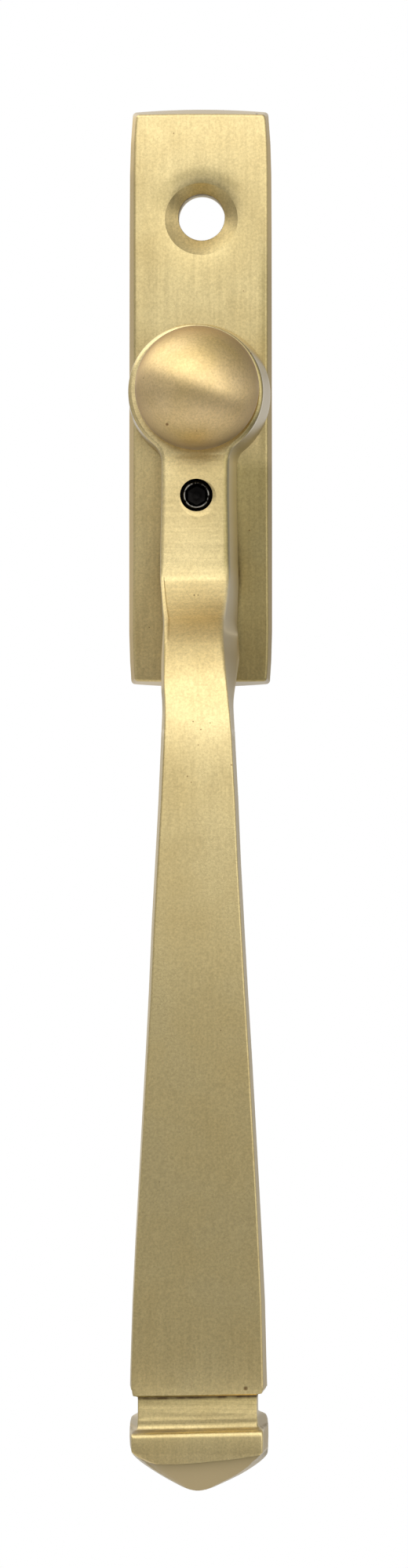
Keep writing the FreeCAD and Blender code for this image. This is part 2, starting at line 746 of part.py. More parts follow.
def lock_screw():
    """Blackened steel socket set screw: its point enters the plate's blind hole when it is driven back."""
    body = new_body("lock_screw")
    shank = new_sketch(body, "lock_shank_circle", "XZ_Plane", "lock_screw_front - lock_screw_length")
    add_circle(shank, "0", "- lock_drop", "lock_screw_dia / 2")
    pad(body, "lock_shank", shank, "lock_screw_length")
    rims = edges_where(body.Tip.Shape, lambda edge: near(edge.BoundBox.YLength, 0))
    bevel_edges(body, "lock_rims", rims, "lock_screw_rim")
    point = new_sketch(body, "lock_point_circle", "XZ_Plane",
                       "lock_screw_front - lock_screw_length - lock_screw_point_length")
    add_circle(point, "0", "- lock_drop", "lock_screw_point_dia / 2")
    pad(body, "lock_point", point, "2 * lock_screw_point_length")
    socket = new_sketch(body, "hex_section", "XZ_Plane", "lock_screw_front")
    corner_radius = "hex_across_flats / 2 / cos(30)"
    corners = []
    for number in range(6):
        angle = 60 * number
        across = f"{corner_radius} * cos({angle})"
        corners.append((across, f"{corner_radius} * sin({angle}) - lock_drop"))
    add_loop(socket, corners)
    pocket(body, "hex_socket", socket, "hex_depth")
    return body


def finish_part():
    pieces = [
        backplate(),
        bearing_bush(),
        add_ring("thrust_washer", "washer_outer_radius", "washer_inner_radius", "thrust_washer_back",
                 "thrust_washer_thickness"),
        wave_washer(),
        add_ring("back_washer", "washer_outer_radius", "washer_inner_radius", "back_washer_back",
                 "back_washer_thickness"),
        snap_ring(),
        spindle(),
        ball_knob(),
        lever(),
        lock_screw(),
    ]
    doc.recompute()
    for item in doc.Objects:
        if "Invalid" in item.State or "Error" in item.State:
            raise RuntimeError(f"{item.Name} failed: {item.State}")
    os.makedirs("parts", exist_ok=True)
    for piece in pieces:
        if piece.Shape.isNull() or not piece.Shape.isValid():
            raise RuntimeError(f"{piece.Label} has no valid shape")
        piece.Shape.exportStep(f"parts/{piece.Label}.step")
        print(piece.Label, len(piece.Shape.Solids), round(piece.Shape.Volume, 2), piece.Shape.BoundBox)


finish_part()
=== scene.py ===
from math import acos, asin, atan2, cos, exp, hypot, pi, radians, sin, sqrt, tan

import bmesh
import bpy
import numpy as np
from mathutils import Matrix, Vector, noise


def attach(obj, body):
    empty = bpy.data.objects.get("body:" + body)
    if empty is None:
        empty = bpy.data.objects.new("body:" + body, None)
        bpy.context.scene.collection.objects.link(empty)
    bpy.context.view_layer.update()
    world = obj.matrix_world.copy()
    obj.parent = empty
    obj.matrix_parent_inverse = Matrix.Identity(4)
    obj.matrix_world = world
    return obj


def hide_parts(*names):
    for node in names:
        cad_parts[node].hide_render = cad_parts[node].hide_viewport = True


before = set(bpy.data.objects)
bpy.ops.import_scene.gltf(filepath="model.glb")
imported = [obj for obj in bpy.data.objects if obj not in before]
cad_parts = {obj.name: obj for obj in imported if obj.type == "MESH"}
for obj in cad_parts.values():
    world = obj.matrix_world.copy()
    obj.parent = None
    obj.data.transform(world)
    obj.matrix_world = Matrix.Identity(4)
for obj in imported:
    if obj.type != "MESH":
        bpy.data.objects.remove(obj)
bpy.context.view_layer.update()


# Backplate: a slim plate cast in brass, with drafted sides and a face that crowns along its length.
# The face is linished to a satin, which has dished it round the two countersunk holes, and the sides
# are as the mould left them. It carries the bush that the lever turns in.
MM = 0.001
PLATE_HALF_HEIGHT = 34.5
PLATE_THICKNESS = 6.0
PLATE_CROWN = 1.27
PLATE_END_BOW = 0.35
PLATE_CORNER = 0.5
PLATE_FACE_TOP = 33.5
PLATE_FACE_BOTTOM = 33.95
PLATE_DRAFT = 0.46
PLATE_LEAN = 0.022
PLATE_EDGE = 0.3
PLATE_SIDE_DEPTH = 4.8
# Half widths of the plate's back at each drop below the spindle's axis. Its lower end is a shade wider.
PLATE_HALF_WIDTHS = [(-34.5, 8.06), (-33.9, 8.09), (-30.5, 8.34), (-26.8, 8.45), (-19, 8.49), (15, 8.54),
                     (28, 8.54), (31.5, 8.44), (34.5, 8.24)]
# How far aside and how high each screw hole stands.
HOLES = ((0.08, 21.28), (0.3, -21.5))
HOLE_RADIUS = 2.75
COUNTERSINK_RADIUS = 4.32
DISH_DEPTH = 0.27
DISH_REACH = 1.3
# Steps across half of a casting's face.
FACE_STEPS = 24


def round_corner(before, corner, after, radius, steps):
    """Points on the arc that rounds a corner."""
    before, corner, after = (np.array(p, float) for p in (before, corner, after))
    to_before = (before - corner) / np.hypot(*(before - corner))
    to_after = (after - corner) / np.hypot(*(after - corner))
    half = acos(np.clip(to_before @ to_after, -1, 1)) / 2
    middle = (to_before + to_after) / np.hypot(*(to_before + to_after))
    centre = corner + middle * radius / sin(half)
    start = corner + to_before * radius / tan(half) - centre
    end = corner + to_after * radius / tan(half) - centre
    sweep = pi - 2 * half
    shares = np.linspace(0, 1, steps + 1)
    return [centre + (start * sin((1 - t) * sweep) + end * sin(t * sweep)) / sin(sweep) for t in shares]


def outward_normals(path):
    """Unit normals to the left of a path that runs down an outline's right side."""
    step = np.gradient(np.array(path), axis=0)
    normals = np.stack([-step[:, 1], step[:, 0]], axis=1)
    return normals / np.hypot(normals[:, 0], normals[:, 1])[:, None]


def casting_ring(wall, normal, back, front, edge, back_edge=0.12, edge_drop=None):
    """One closed ring round a casting, as (x, depth, z). It starts at the back's middle, climbs the drafted right
    side, crosses the rounded front edge and the front, and comes down the left side as a mirror image. wall gives
    the side's x and z at a depth, and front gives the face's depth at a height and an x. edge is how far the front
    edge's rounding reaches in, and edge_drop how far it comes down."""
    edge_drop = edge if edge_drop is None else edge_drop
    base = back(wall(0)[1])

    def place(pull, depth):
        x, z = wall(depth)
        return max(x - normal[0] * pull, 0), depth, z - normal[1] * pull

    edge_x, _, edge_z = place(back_edge, base)
    half = [(edge_x * t, base, edge_z) for t in np.linspace(0, 1, 7)[:-1]]
    half += [place(back_edge * (1 - sin(a)), base + back_edge * (1 - cos(a))) for a in np.linspace(0, pi / 2, 4)]
    top = front(edge_z, edge_x)
    for _ in range(3):
        edge_x, _, edge_z = place(edge, top)
        top = front(edge_z, edge_x)
    low, high = base + back_edge, top - edge_drop
    half += [place(0, d) for d in np.linspace(low, high, 8)[1:]]
    half += [place(edge * (1 - cos(a)), high + edge_drop * sin(a)) for a in np.linspace(0, pi / 2, 8)[1:-1]]
    half += [(edge_x * t, front(edge_z, edge_x * t), edge_z) for t in np.linspace(1, 0, FACE_STEPS + 1)]
    mirror = [(-x, depth, z) for x, depth, z in reversed(half[1:-1])]
    for number, (x, depth, z) in enumerate(mirror[:FACE_STEPS]):
        mirror[number] = (x, front(z, x) if depth > high else depth, z)
    return half + mirror


def band_faces(rings, count):
    """The faces between closed rings of count points each, one ring after another."""
    return [
        (ring * count + point, ring * count + (point + 1) % count,
         (ring + 1) * count + (point + 1) % count, (ring + 1) * count + point)
        for ring in range(rings - 1) for point in range(count)
    ]


def new_object(name, data):
    """A new object in the scene."""
    thing = bpy.data.objects.new(name, data)
    bpy.context.scene.collection.objects.link(thing)
    return thing


def clean_piece(name, vertices, faces):
    """An object from points and faces. Doubled points are joined, and all the faces look outwards."""
    mesh = bpy.data.meshes.new(name)
    mesh.from_pydata(vertices, [], faces)
    form = bmesh.new()
    form.from_mesh(mesh)
    bmesh.ops.remove_doubles(form, verts=form.verts, dist=2e-7)
    bmesh.ops.dissolve_degenerate(form, dist=1e-8, edges=form.edges)
    bmesh.ops.recalc_face_normals(form, faces=form.faces)
    form.to_mesh(mesh)
    form.free()
    mesh.polygons.foreach_set("use_smooth", [True] * len(mesh.polygons))
    return new_object(name, mesh)


def casting_piece(name, rings, sideways):
    """A closed mesh through the rings. sideways gives how far a point stands off to the right of the middle."""
    vertices = [Vector((x + sideways(z, depth), -depth, z)) * MM for ring in rings for x, depth, z in ring]
    count = len(rings[0])
    # The first and last rings are closed with a face each.
    ends = [tuple(range(count))[::-1], tuple(range(len(vertices) - count, len(vertices)))]
    return clean_piece(name, vertices, band_faces(len(rings), count) + ends)


def turned_piece(name, profile, centre=(0, 0), segments=96, wobble=None):
    """A closed form turned about the Y direction. profile holds (radius, depth) pairs from axis to axis, and
    wobble can move each point."""
    vertices = []
    for radius, depth in profile:
        for number in range(segments):
            angle = 2 * pi * number / segments
            r, d = (radius, depth) if wobble is None else wobble(radius, depth, angle)
            vertices.append(Vector((centre[0] + r * cos(angle), -d, centre[1] + r * sin(angle))) * MM)
    return clean_piece(name, vertices, band_faces(len(profile), segments))


def cut_from(piece, cutters):
    """Cuts the cutters from a piece and throws them away."""
    for cutter in cutters:
        cut = piece.modifiers.new("cut", "BOOLEAN")
        cut.operation = "DIFFERENCE"
        cut.solver = "EXACT"
        cut.object = cutter
    bpy.context.view_layer.update()
    depsgraph = bpy.context.evaluated_depsgraph_get()
    mesh = bpy.data.meshes.new_from_object(piece.evaluated_get(depsgraph))
    piece.modifiers.clear()
    piece.data = mesh
    for cutter in cutters:
        bpy.data.objects.remove(cutter)


def crease_sharp_edges(piece, degrees):
    """Breaks the smooth shading of a piece at every edge sharper than this."""
    piece.data.set_sharp_from_angle(angle=radians(degrees))


def shade_face(piece, face, sideways, lowest):
    """Shades the finished face by its true form, so that holes cut through it leave no marks in the shine.
    Points below lowest stay as they are."""
    mesh = piece.data
    found = {}
    for vertex in mesh.vertices:
        x, y, z = vertex.co / MM
        x -= sideways(z, -y)
        if z > lowest and abs(-y - face(z, x)) < 0.002:
            across = (face(z, x + 0.03) - face(z, x - 0.03)) / 0.06
            along = (face(z + 0.03, x) - face(z - 0.03, x)) / 0.06
            found[vertex.index] = Vector((-across, -1, -along)).normalized()
    normals = [Vector((0, 0, 0))] * len(mesh.loops)
    for polygon in mesh.polygons:
        for loop in polygon.loop_indices:
            true = found.get(mesh.loops[loop].vertex_index)
            if true and true.dot(polygon.normal) > 0.98:
                normals[loop] = true
    mesh.normals_split_custom_set(normals)


def mark_points(piece, name, share_at):
    """Stores a share for each point of a piece, from its x, depth and height."""
    layer = piece.data.attributes.new(name, "FLOAT", "POINT")
    places = [vertex.co / MM for vertex in piece.data.vertices]
    layer.data.foreach_set("value", [float(share_at(place.x, -place.y, place.z)) for place in places])


def hand_waves(x, z):
    """The slight unevenness of a face linished by hand, in millimetres."""
    return 0.011 * noise.noise(Vector((x / 5.0, z / 7.0, 3.0))) - 0.011


def plate_face(z, x):
    """The depth of the plate's crowned face, which the belt has dished round the holes."""
    face = PLATE_THICKNESS - PLATE_CROWN * abs(z / PLATE_HALF_HEIGHT) ** 2.2 + hand_waves(x, z)
    for aside, height in HOLES:
        out = max(hypot(x - aside, z - height) - COUNTERSINK_RADIUS + 0.5, 0)
        face -= DISH_DEPTH * exp(-out / DISH_REACH)
    return face


def plate_sideways(z, depth):
    """The plate's draft is uneven, so that its face stands a little to the right of its back."""
    return PLATE_LEAN * depth


def plate_outline(narrower, top_height, bottom_height, bow, corner):
    """An outline of the plate's right half, from the middle of its top to the middle of its bottom."""
    def half_width(z):
        return float(np.interp(-z, *zip(*PLATE_HALF_WIDTHS))) - narrower

    quarters = []
    for side, half_height in ((1, top_height), (-1, bottom_height)):
        end_x = half_width(side * 34.0)
        end_z = [half_height - bow * (x / end_x) ** 2 for x in (end_x - 1.5, end_x)]
        arc = round_corner(
            (end_x - 1.5, end_z[0]), (end_x, end_z[1]), (half_width(side * 33.0), half_height - 1.5), corner, 8
        )
        end_curve = [(x, half_height - bow * (x / end_x) ** 2) for x in np.linspace(0, arc[0][0], 13)[:-1]]
        quarters.append(end_curve + [tuple(p) for p in arc])
    top, bottom = quarters
    sides = [(half_width(z), z) for z in np.linspace(top[-1][1], -bottom[-1][1], 160)[1:-1]]
    return np.array(top + sides + [(x, -z) for x, z in reversed(bottom)])


plate_back = plate_outline(0.0, PLATE_HALF_HEIGHT, PLATE_HALF_HEIGHT, PLATE_END_BOW, PLATE_CORNER)
plate_front = plate_outline(PLATE_DRAFT, PLATE_FACE_TOP, PLATE_FACE_BOTTOM, 0.06, 0.42)
plate_normals = outward_normals(plate_back)
plate_normals[0], plate_normals[-1] = (0, 1), (0, -1)
plate_rings = [
    casting_ring(
        lambda depth: start + (end - start) * depth / PLATE_SIDE_DEPTH, normal, lambda z: 0.0, plate_face, PLATE_EDGE
    )
    for start, end, normal in zip(plate_back, plate_front, plate_normals)
]
backplate = casting_piece("backplate_cast", plate_rings, plate_sideways)


# How far the plate's lean carries a hole to the right, taken at a depth of 5 mm.
HOLE_LEAN = PLATE_LEAN * 5


def countersink_cutter(aside, height):
    """A clearance hole with a countersink, which a hand drill has left a little flatter than 90 degrees."""
    slope, ease, reach = 0.8, 0.05, 3
    cone_start = plate_face(height, COUNTERSINK_RADIUS + aside) - (COUNTERSINK_RADIUS - HOLE_RADIUS) * slope
    profile = [
        (0, -1), (HOLE_RADIUS, -1), (HOLE_RADIUS, cone_start - ease), (HOLE_RADIUS + ease, cone_start + ease * slope),
        (HOLE_RADIUS + reach, cone_start + reach * slope), (0, cone_start + reach * slope),
    ]
    return turned_piece("cutter", profile, (aside + HOLE_LEAN, height))


# The bearing's hole: a recess for the washers at the back, the bush's bore, and a seat for its flange.
SPIGOT_RECESS = 7.25
BUSH_BORE = 6.72
FLANGE_SEAT_RADIUS = 7.52
FLANGE_SEAT_DEPTH = 5.65
bearing_cutter = turned_piece(
    "cutter",
    [(0, -1), (SPIGOT_RECESS, -1), (SPIGOT_RECESS, 3), (BUSH_BORE, 3), (BUSH_BORE, FLANGE_SEAT_DEPTH),
     (FLANGE_SEAT_RADIUS, FLANGE_SEAT_DEPTH), (FLANGE_SEAT_RADIUS, 7), (0, 7)],
)
LOCK_DROP = 12.2
LOCK_HOLE_RADIUS = 2.15
LOCK_HOLE_FLOOR = 3.25
lock_hole_profile = [(0, LOCK_HOLE_FLOOR), (LOCK_HOLE_RADIUS, LOCK_HOLE_FLOOR), (LOCK_HOLE_RADIUS, 7), (0, 7)]
lock_hole_cutter = turned_piece("cutter", lock_hole_profile, (0, -LOCK_DROP), 48)
cut_from(backplate, [*(countersink_cutter(*hole) for hole in HOLES), bearing_cutter, lock_hole_cutter])
crease_sharp_edges(backplate, 20)
shade_face(backplate, plate_face, plate_sideways, -PLATE_FACE_BOTTOM)


def from_hole(x, z):
    """How far a point lies from the middle of the nearer screw hole."""
    return min(hypot(x - aside - HOLE_LEAN, z - height) for aside, height in HOLES)


def in_countersink(x, z):
    """Whether a point lies in a countersink or on its rim."""
    return from_hole(x, z) < COUNTERSINK_RADIUS + 0.3


mark_points(backplate, "cast_side", lambda x, depth, z: 0 if in_countersink(x, z) else np.clip(
    (plate_face(z, x) - depth - 0.08) / 0.3, 0, 1
))
mark_points(backplate, "matt", lambda x, depth, z: in_countersink(x, z) and plate_face(z, x) - depth > 0.05)


def plate_painted_shade(x, depth, z):
    """Painted shade on the plate: on its right below the collar, along its right edge, round and above the upper hole,
    between it and the collar, and a little at other heights.
    """
    if z > 0 and from_hole(x, z) < COUNTERSINK_RADIUS + 0.06:
        return 0.5 * np.clip((z - 20.5) / 3, 0, 1)
    return max(
        np.interp(z, [-20, -13, -9, -4], [0.85, 0.95, 1, 0]) * np.clip((x + 1) / 5, 0, 1),
        np.interp(z, [-34, -31, -14, -5, 2, 6, 16, 25, 28, 31.5],
                  [0.25, 0.04, 0.08, 0.12, 0.12, 0.34, 0.3, 0.26, 0.14, 0]),
        0.7 * np.clip((x - 6.8) / 0.5, 0, 1) * np.interp(z, [14, 26], [1, 0]),
        0.45 * exp(-((x + 4.4) ** 2 + (z - 23.6) ** 2) / 6.0),
        0.5 * exp(-((from_hole(x, z) - 5.2) / 0.9) ** 2) * np.clip((z - 23.2) / 2, 0, 1),
    )


# Painted shade on the plate's brass, which darkens its colour with grey.
mark_points(backplate, "painted_shade", plate_painted_shade)
mark_points(backplate, "linished_along", lambda x, depth, z: 0.5)
# Painted light: the top bevel's skin is painted a little paler than the sides', as if lit from above.
mark_points(backplate, "painted_light", lambda x, depth, z: 0.25 * (z > 33.4))
# Painted shade: a dark matt brown in the holes and along the upper rim of the upper countersink.
mark_points(backplate, "painted_recess_shade", lambda x, depth, z: (
    0.9 * (from_hole(x, z) < HOLE_RADIUS + 0.03 and depth > 0.5)
    + 0.22 * exp(-((from_hole(x, z) - COUNTERSINK_RADIUS) / 0.1) ** 2) * np.clip((z - 21) / 3, 0, 1)
))


def linear_colour(text):
    """A shader colour from an sRGB hex value."""
    channels = []
    for start in (1, 3, 5):
        share = int(text[start:start + 2], 16) / 255
        channels.append(share / 12.92 if share <= 0.04045 else ((share + 0.055) / 1.055) ** 2.4)
    return (*channels, 1.0)


def set_inputs(node, inputs):
    """Gives a node's inputs plain values, or links them to the sockets that feed them."""
    for name, source in inputs.items():
        if isinstance(source, bpy.types.NodeSocket):
            node.id_data.links.new(source, node.inputs[name])
        else:
            node.inputs[name].default_value = source


def add_node(tree, kind, inputs=(), **settings):
    """Adds one node with its inputs and its settings."""
    node = tree.nodes.new(kind)
    for name, setting in settings.items():
        setattr(node, name, setting)
    set_inputs(node, dict(inputs))
    return node


def new_finish(name):
    """A new material, its node tree and its shader."""
    material = bpy.data.materials.new(name)
    material.use_nodes = True
    return material, material.node_tree, material.node_tree.nodes["Principled BSDF"]


def place_on_piece(tree):
    """Where a point lies on its own piece, in metres."""
    return add_node(tree, "ShaderNodeTexCoord").outputs["Object"]


def patches(tree, size, detail):
    """A cloudy pattern between 0 and 1, with patches of a size in metres."""
    inputs = {"Vector": place_on_piece(tree), "Scale": 1 / size, "Detail": detail}
    return add_node(tree, "ShaderNodeTexNoise", inputs).outputs["Fac"]


def scratches(tree, scales, detail):
    """Patches drawn out into lines. scales gives how many there are in a metre along X, Y and Z."""
    drawn = add_node(tree, "ShaderNodeMapping", {"Vector": place_on_piece(tree), "Scale": scales})
    inputs = {"Vector": drawn.outputs[0], "Scale": 1.0, "Detail": detail}
    return add_node(tree, "ShaderNodeTexNoise", inputs).outputs["Fac"]


def spread(tree, value, low, high, new_low=0.0, new_high=1.0, interpolation="LINEAR"):
    """Spreads a value from low to high over a new range."""
    inputs = {"Value": value, "From Min": low, "From Max": high, "To Min": new_low, "To Max": new_high}
    return add_node(tree, "ShaderNodeMapRange", inputs, interpolation_type=interpolation).outputs[0]


def reckon(tree, operation, *values, clamp=False):
    """One step of arithmetic on values or sockets."""
    return add_node(tree, "ShaderNodeMath", enumerate(values), operation=operation, use_clamp=clamp).outputs[0]


def reckon_vector(tree, operation, *values):
    """One step of arithmetic on vectors, as its node."""
    return add_node(tree, "ShaderNodeVectorMath", enumerate(values), operation=operation)


def mix_values(tree, share, first, second):
    """Mixes two values or sockets."""
    return add_node(tree, "ShaderNodeMix", {0: share, 2: first, 3: second}, data_type="FLOAT").outputs[0]


def mix_colours(tree, share, first, second, blend="MIX"):
    """Mixes two colours, which are hex values or sockets."""
    first, second = (linear_colour(c) if isinstance(c, str) else c for c in (first, second))
    inputs = {0: share, 6: first, 7: second}
    return add_node(tree, "ShaderNodeMix", inputs, data_type="RGBA", blend_type=blend).outputs[2]


def mark_on_mesh(tree, name):
    """The share that mark_points stored under this name, or 0 where it stored none."""
    return add_node(tree, "ShaderNodeAttribute", attribute_name=name).outputs["Fac"]


def add_relief(shader, pattern, height):
    """Raises a pattern by a height in metres, on top of the relief that is already there."""
    inputs = {"Strength": 1.0, "Distance": height, "Height": pattern}
    if shader.inputs["Normal"].links:
        inputs["Normal"] = shader.inputs["Normal"].links[0].from_socket
    set_inputs(shader, {"Normal": add_node(shader.id_data, "ShaderNodeBump", inputs).outputs[0]})


def give_finish(piece, material):
    """Gives a piece one material in place of any it had."""
    piece.data.materials.clear()
    piece.data.materials.append(material)


def satin_brass(name, face, tarnish, side, face_roughness, marks=(), streaked=0.0):
    """Satin brass: a metal with a fine sandy grain that scatters its highlights, cloudy with tarnish, with
    paler and rougher sides that the belt never touched, and a few brown specks of tarnish. Painted shade, a grey,
    darkens it where the mesh's shade mark asks, and painted light makes its sides paler where the mesh's
    light mark asks. streaked draws the highlights out across the belt's lines, which run up and down, or
    across where filed_across is above 0."""
    material, tree, shader = new_finish(name)
    # Clouds of tarnish are about 9 mm across.
    clouds = patches(tree, 0.009, 3.0)
    face_colour = mix_colours(tree, spread(tree, clouds, 0.35, 0.68), face, tarnish)
    # The belt's grain, really under 0.1 mm, is drawn coarser, at 0.16 mm and at 0.3 mm.
    grain = patches(tree, 0.00016, 2.0)
    grains = mix_values(tree, 0.55, grain, patches(tree, 0.0003, 1.0))
    speckle = spread(tree, grains, 0.35, 0.65, 0.87, 1.1)
    # The belt's lines, up to 20 mm long, are drawn 0.4 mm apart.
    lined = spread(tree, scratches(tree, (2500.0, 2500.0, 60.0), 2.0), 0.3, 0.7, 0.93, 1.05)
    # A file's lines across the casting are deeper, and drawn 0.5 mm apart.
    filed = spread(tree, scratches(tree, (60.0, 2000.0, 2000.0), 2.0), 0.3, 0.7, 0.78, 1.12)
    across = mark_on_mesh(tree, "filed_across")
    lined_share = reckon(tree, "MULTIPLY", mark_on_mesh(tree, "linished_along"), 2.0, clamp=True)
    worked = mix_values(tree, across, mix_values(tree, lined_share, 1.0, lined), filed)
    grained = mix_colours(tree, 1.0, face_colour, reckon(tree, "MULTIPLY", speckle, worked), "MULTIPLY")
    # Painted light: the sides are made paler, as much as the mesh's light mark asks.
    skin = mix_colours(tree, mark_on_mesh(tree, "painted_light"), side, "#F0E6CE")
    side_share = mark_on_mesh(tree, "cast_side")
    colour = mix_colours(tree, side_share, grained, skin)
    # Painted shade: a grey is multiplied into the colour, as much as the mesh's shade mark asks.
    colour = mix_colours(tree, mark_on_mesh(tree, "painted_shade"), colour, "#B9B9AC", "MULTIPLY")
    if streaked:
        way = add_node(tree, "ShaderNodeMix", {0: across, 4: (1, 0, 0), 5: (0, 0, 1)}, data_type="VECTOR").outputs[1]
        turned = add_node(
            tree, "ShaderNodeVectorTransform", {0: way}, vector_type="VECTOR", convert_from="OBJECT", convert_to="WORLD"
        )
        set_inputs(shader, {"Tangent": turned.outputs[0], "Anisotropic": streaked})
    if marks:
        flat = reckon_vector(tree, "MULTIPLY", place_on_piece(tree), (1, 0, 1)).outputs[0]
        spots = 0.0
        for x, z, radius in marks:
            away = reckon_vector(tree, "DISTANCE", flat, (x * MM, 0, z * MM)).outputs["Value"]
            spot = spread(tree, away, radius * MM * 0.4, radius * MM * 1.5, 0.75, 0.0, "SMOOTHSTEP")
            spots = reckon(tree, "MAXIMUM", spots, spot)
        colour = mix_colours(tree, spots, colour, "#6B4524")
    rough_face = spread(tree, clouds, 0.3, 0.7, face_roughness - 0.03, face_roughness + 0.04)
    rough = mix_values(tree, side_share, rough_face, 0.42)
    # Where it was never rubbed, or only turned, it is matt.
    rougher = reckon(tree, "MULTIPLY_ADD", mark_on_mesh(tree, "matt"), 0.22, rough)
    set_inputs(shader, {"Base Color": colour, "Roughness": rougher, "Metallic": 1.0})
    # The grain stands about 3 micrometres high.
    add_relief(shader, grain, 0.000003)
    return material


def add_recess_shade(material):
    """Painted shade: a dark, matt brown in patches, laid in holes and corners as much as the mesh's mark for it asks.
    """
    tree = material.node_tree
    shader = tree.nodes["Principled BSDF"]
    unshaded, smooth = (shader.inputs[name].links[0].from_socket for name in ("Base Color", "Roughness"))
    shade_patches = spread(tree, patches(tree, 0.0014, 3.0), 0.35, 0.6, 0.25, 1.0)
    amount = reckon(tree, "MULTIPLY", mark_on_mesh(tree, "painted_recess_shade"), shade_patches, clamp=True)
    set_inputs(shader, {
        "Base Color": mix_colours(tree, amount, unshaded, "#4A3218"),
        "Metallic": reckon(tree, "SUBTRACT", 1.0, amount),
        "Roughness": mix_values(tree, amount, smooth, 0.9),
    })


def add_file_marks(material, mask, stretch, spacing, depth):
    """Fine parallel scratches, where a named mask on the mesh is above 0. stretch gives their run along X and Z."""
    tree = material.node_tree
    lines = scratches(tree, (stretch[0] / spacing, 1000.0, stretch[1] / spacing), 3.0)
    height = reckon(tree, "MULTIPLY", lines, mark_on_mesh(tree, mask))
    add_relief(tree.nodes["Principled BSDF"], height, depth)


# Brown specks, as x, z and radius.
PLATE_MARKS = [(6.75, 33.6, 0.16), (-3.1, 31.2, 0.07), (5.2, 12.4, 0.06), (-6.0, -27.5, 0.07), (5.9, -16.0, 0.08)]
plate_brass = satin_brass("linished_brass_plate", "#F0DBA2", "#E4CD93", "#DABF84", 0.3, PLATE_MARKS, 0.75)
add_recess_shade(plate_brass)
add_file_marks(plate_brass, "linished_along", (1.0, 0.03), 0.00025, 0.000005)
give_finish(backplate, plate_brass)
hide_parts("backplate")
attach(backplate, "plate")


# Bearing bush: a flanged bush moulded in natural acetal and pressed in the plate's bore.
# Only the rim of its flange shows, as a thin pale line between the plate and the lever's collar.
def patchy_finish(name, size, detail, first, second, height, **others):
    """A finish that goes between two colours in patches of a size, which stand proud by a height in metres."""
    material, tree, shader = new_finish(name)
    pattern = patches(tree, size, detail)
    set_inputs(shader, {"Base Color": mix_colours(tree, pattern, first, second), **others})
    add_relief(shader, pattern, height)
    return material


def dress_node(node, material):
    """Gives a CAD node its finish in place of the plain one it came with."""
    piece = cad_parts[node]
    give_finish(piece, material)
    piece.data.polygons.foreach_set("use_smooth", [True] * len(piece.data.polygons))


# Acetal is a waxy, slightly see-through white with a faint mottle from moulding.
acetal = patchy_finish("moulded_acetal", 0.0008, 3.0, "#C9C4B4", "#DAD6C8", 0.000004, Roughness=0.42, IOR=1.48)
dress_node("bearing_bush", acetal)


# Spindle and rear washers: a 7 mm square steel bar with bevelled ends, and two stamped washers.
# All are zinc plated, which gives a bluish grey with a soft, slightly streaky shine.
# The streaks, about 0.3 mm apart, run along the drawn bar.
zinc, tree, shader = new_finish("zinc_plated_steel")
clouds = patches(tree, 0.004, 4.0)
set_inputs(shader, {
    "Base Color": mix_colours(tree, clouds, "#A9ADB0", "#C6C9CA"),
    "Roughness": spread(tree, clouds, 0.3, 0.7, 0.28, 0.42),
    "Metallic": 1.0,
})
add_relief(shader, scratches(tree, (3300.0, 180.0, 3300.0), 4.0), 0.000006)
for node in ("spindle", "thrust_washer", "back_washer"):
    dress_node(node, zinc)
    crease_sharp_edges(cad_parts[node], 30)


# Wave washer and snap ring: hardened spring steel, dark blue-grey and smooth, with a thin coat of oil and brown
# stains about 2 mm across. The ring springs into the spigot's groove, and the washer takes up the play.
spring_steel = patchy_finish(
    "oiled_spring_steel", 0.002, 4.0, "#5B5E62", "#7A7672", 0.000003, Roughness=0.3, Metallic=1.0
)
for node in ("wave_washer", "snap_ring"):
    dress_node(node, spring_steel)


# Lever: one brass casting with a round collar, a flat neck, a cranked elbow and a long tapered grip
# that bows forward, then a filed waist and a cap with a four-sided point. Its faces are linished to
# a satin, and its drafted sides stay as cast. A spigot on its back turns in the plate's bush.
LEVER_BACK = 6.45
LEVER_TAPER = tan(radians(3.6))
COLLAR_FRONT = 14.8
COLLAR_RADIUS = 7.9 + (COLLAR_FRONT - LEVER_BACK) * LEVER_TAPER
NECK_HALF = 3.9 + (COLLAR_FRONT - LEVER_BACK) * LEVER_TAPER
NECK_FILLET = 2.2
HEEL_START_DROP = 31.0
HEEL_END_DROP = 36.6
GRIP_BACK = 20.9
GRIP_MIDDLE = 21.3
GRIP_START_DROP = 36.0
GRIP_START_HALF = 5.024
GRIP_END_DROP = 116.7
GRIP_END_HALF = 8.818
GRIP_CORNER = 0.65
# How steeply the front rises towards the viewer, in degrees, at each drop below the spindle's axis.
FRONT_SLOPES = [
    (7.6, 2.4), (9, 4), (11, 2.6), (14, 2.8), (20.4, 3.7), (21.5, 8), (22.4, 27), (24.2, 36), (25.6, 51), (27, 60),
    (28.4, 54), (30, 40), (31.6, 29), (33.8, 19), (36, 12.5), (40.5, 5.4), (45, 3), (54, 1.4), (64, 0.6), (73, -0.8),
    (85, -1.8), (95, -2.6), (105, -2.9), (112.5, -3.2), (114.6, -1.5), (116.7, 1.2),
]
SLOPE_STEP = 0.05
slope_drops = np.arange(FRONT_SLOPES[0][0], GRIP_END_DROP + 0.06, SLOPE_STEP)
slopes = np.tan(np.radians(np.interp(slope_drops, *zip(*FRONT_SLOPES))))
front_depths = COLLAR_FRONT + np.concatenate([[0], np.cumsum((slopes[1:] + slopes[:-1]) / 2 * SLOPE_STEP)])


def soft_min(first, second, blend):
    """The smaller of two heights, blended where they cross so that the corner is rounded."""
    near = max(blend - abs(first - second), 0) / blend
    return min(first, second) - near * near * blend / 4


def soft_max(first, second, blend):
    """The larger of two heights, blended in the same way."""
    return -soft_min(-first, -second, blend)


def lever_face(z, x):
    """The front's depth down the neck and grip. The crease at the elbow runs a little uphill to the right."""
    crease = 0.04 * x * exp(-((z + 23.5) / 5.0) ** 2)
    return float(np.interp(-z + crease, slope_drops, front_depths)) + hand_waves(x, z)


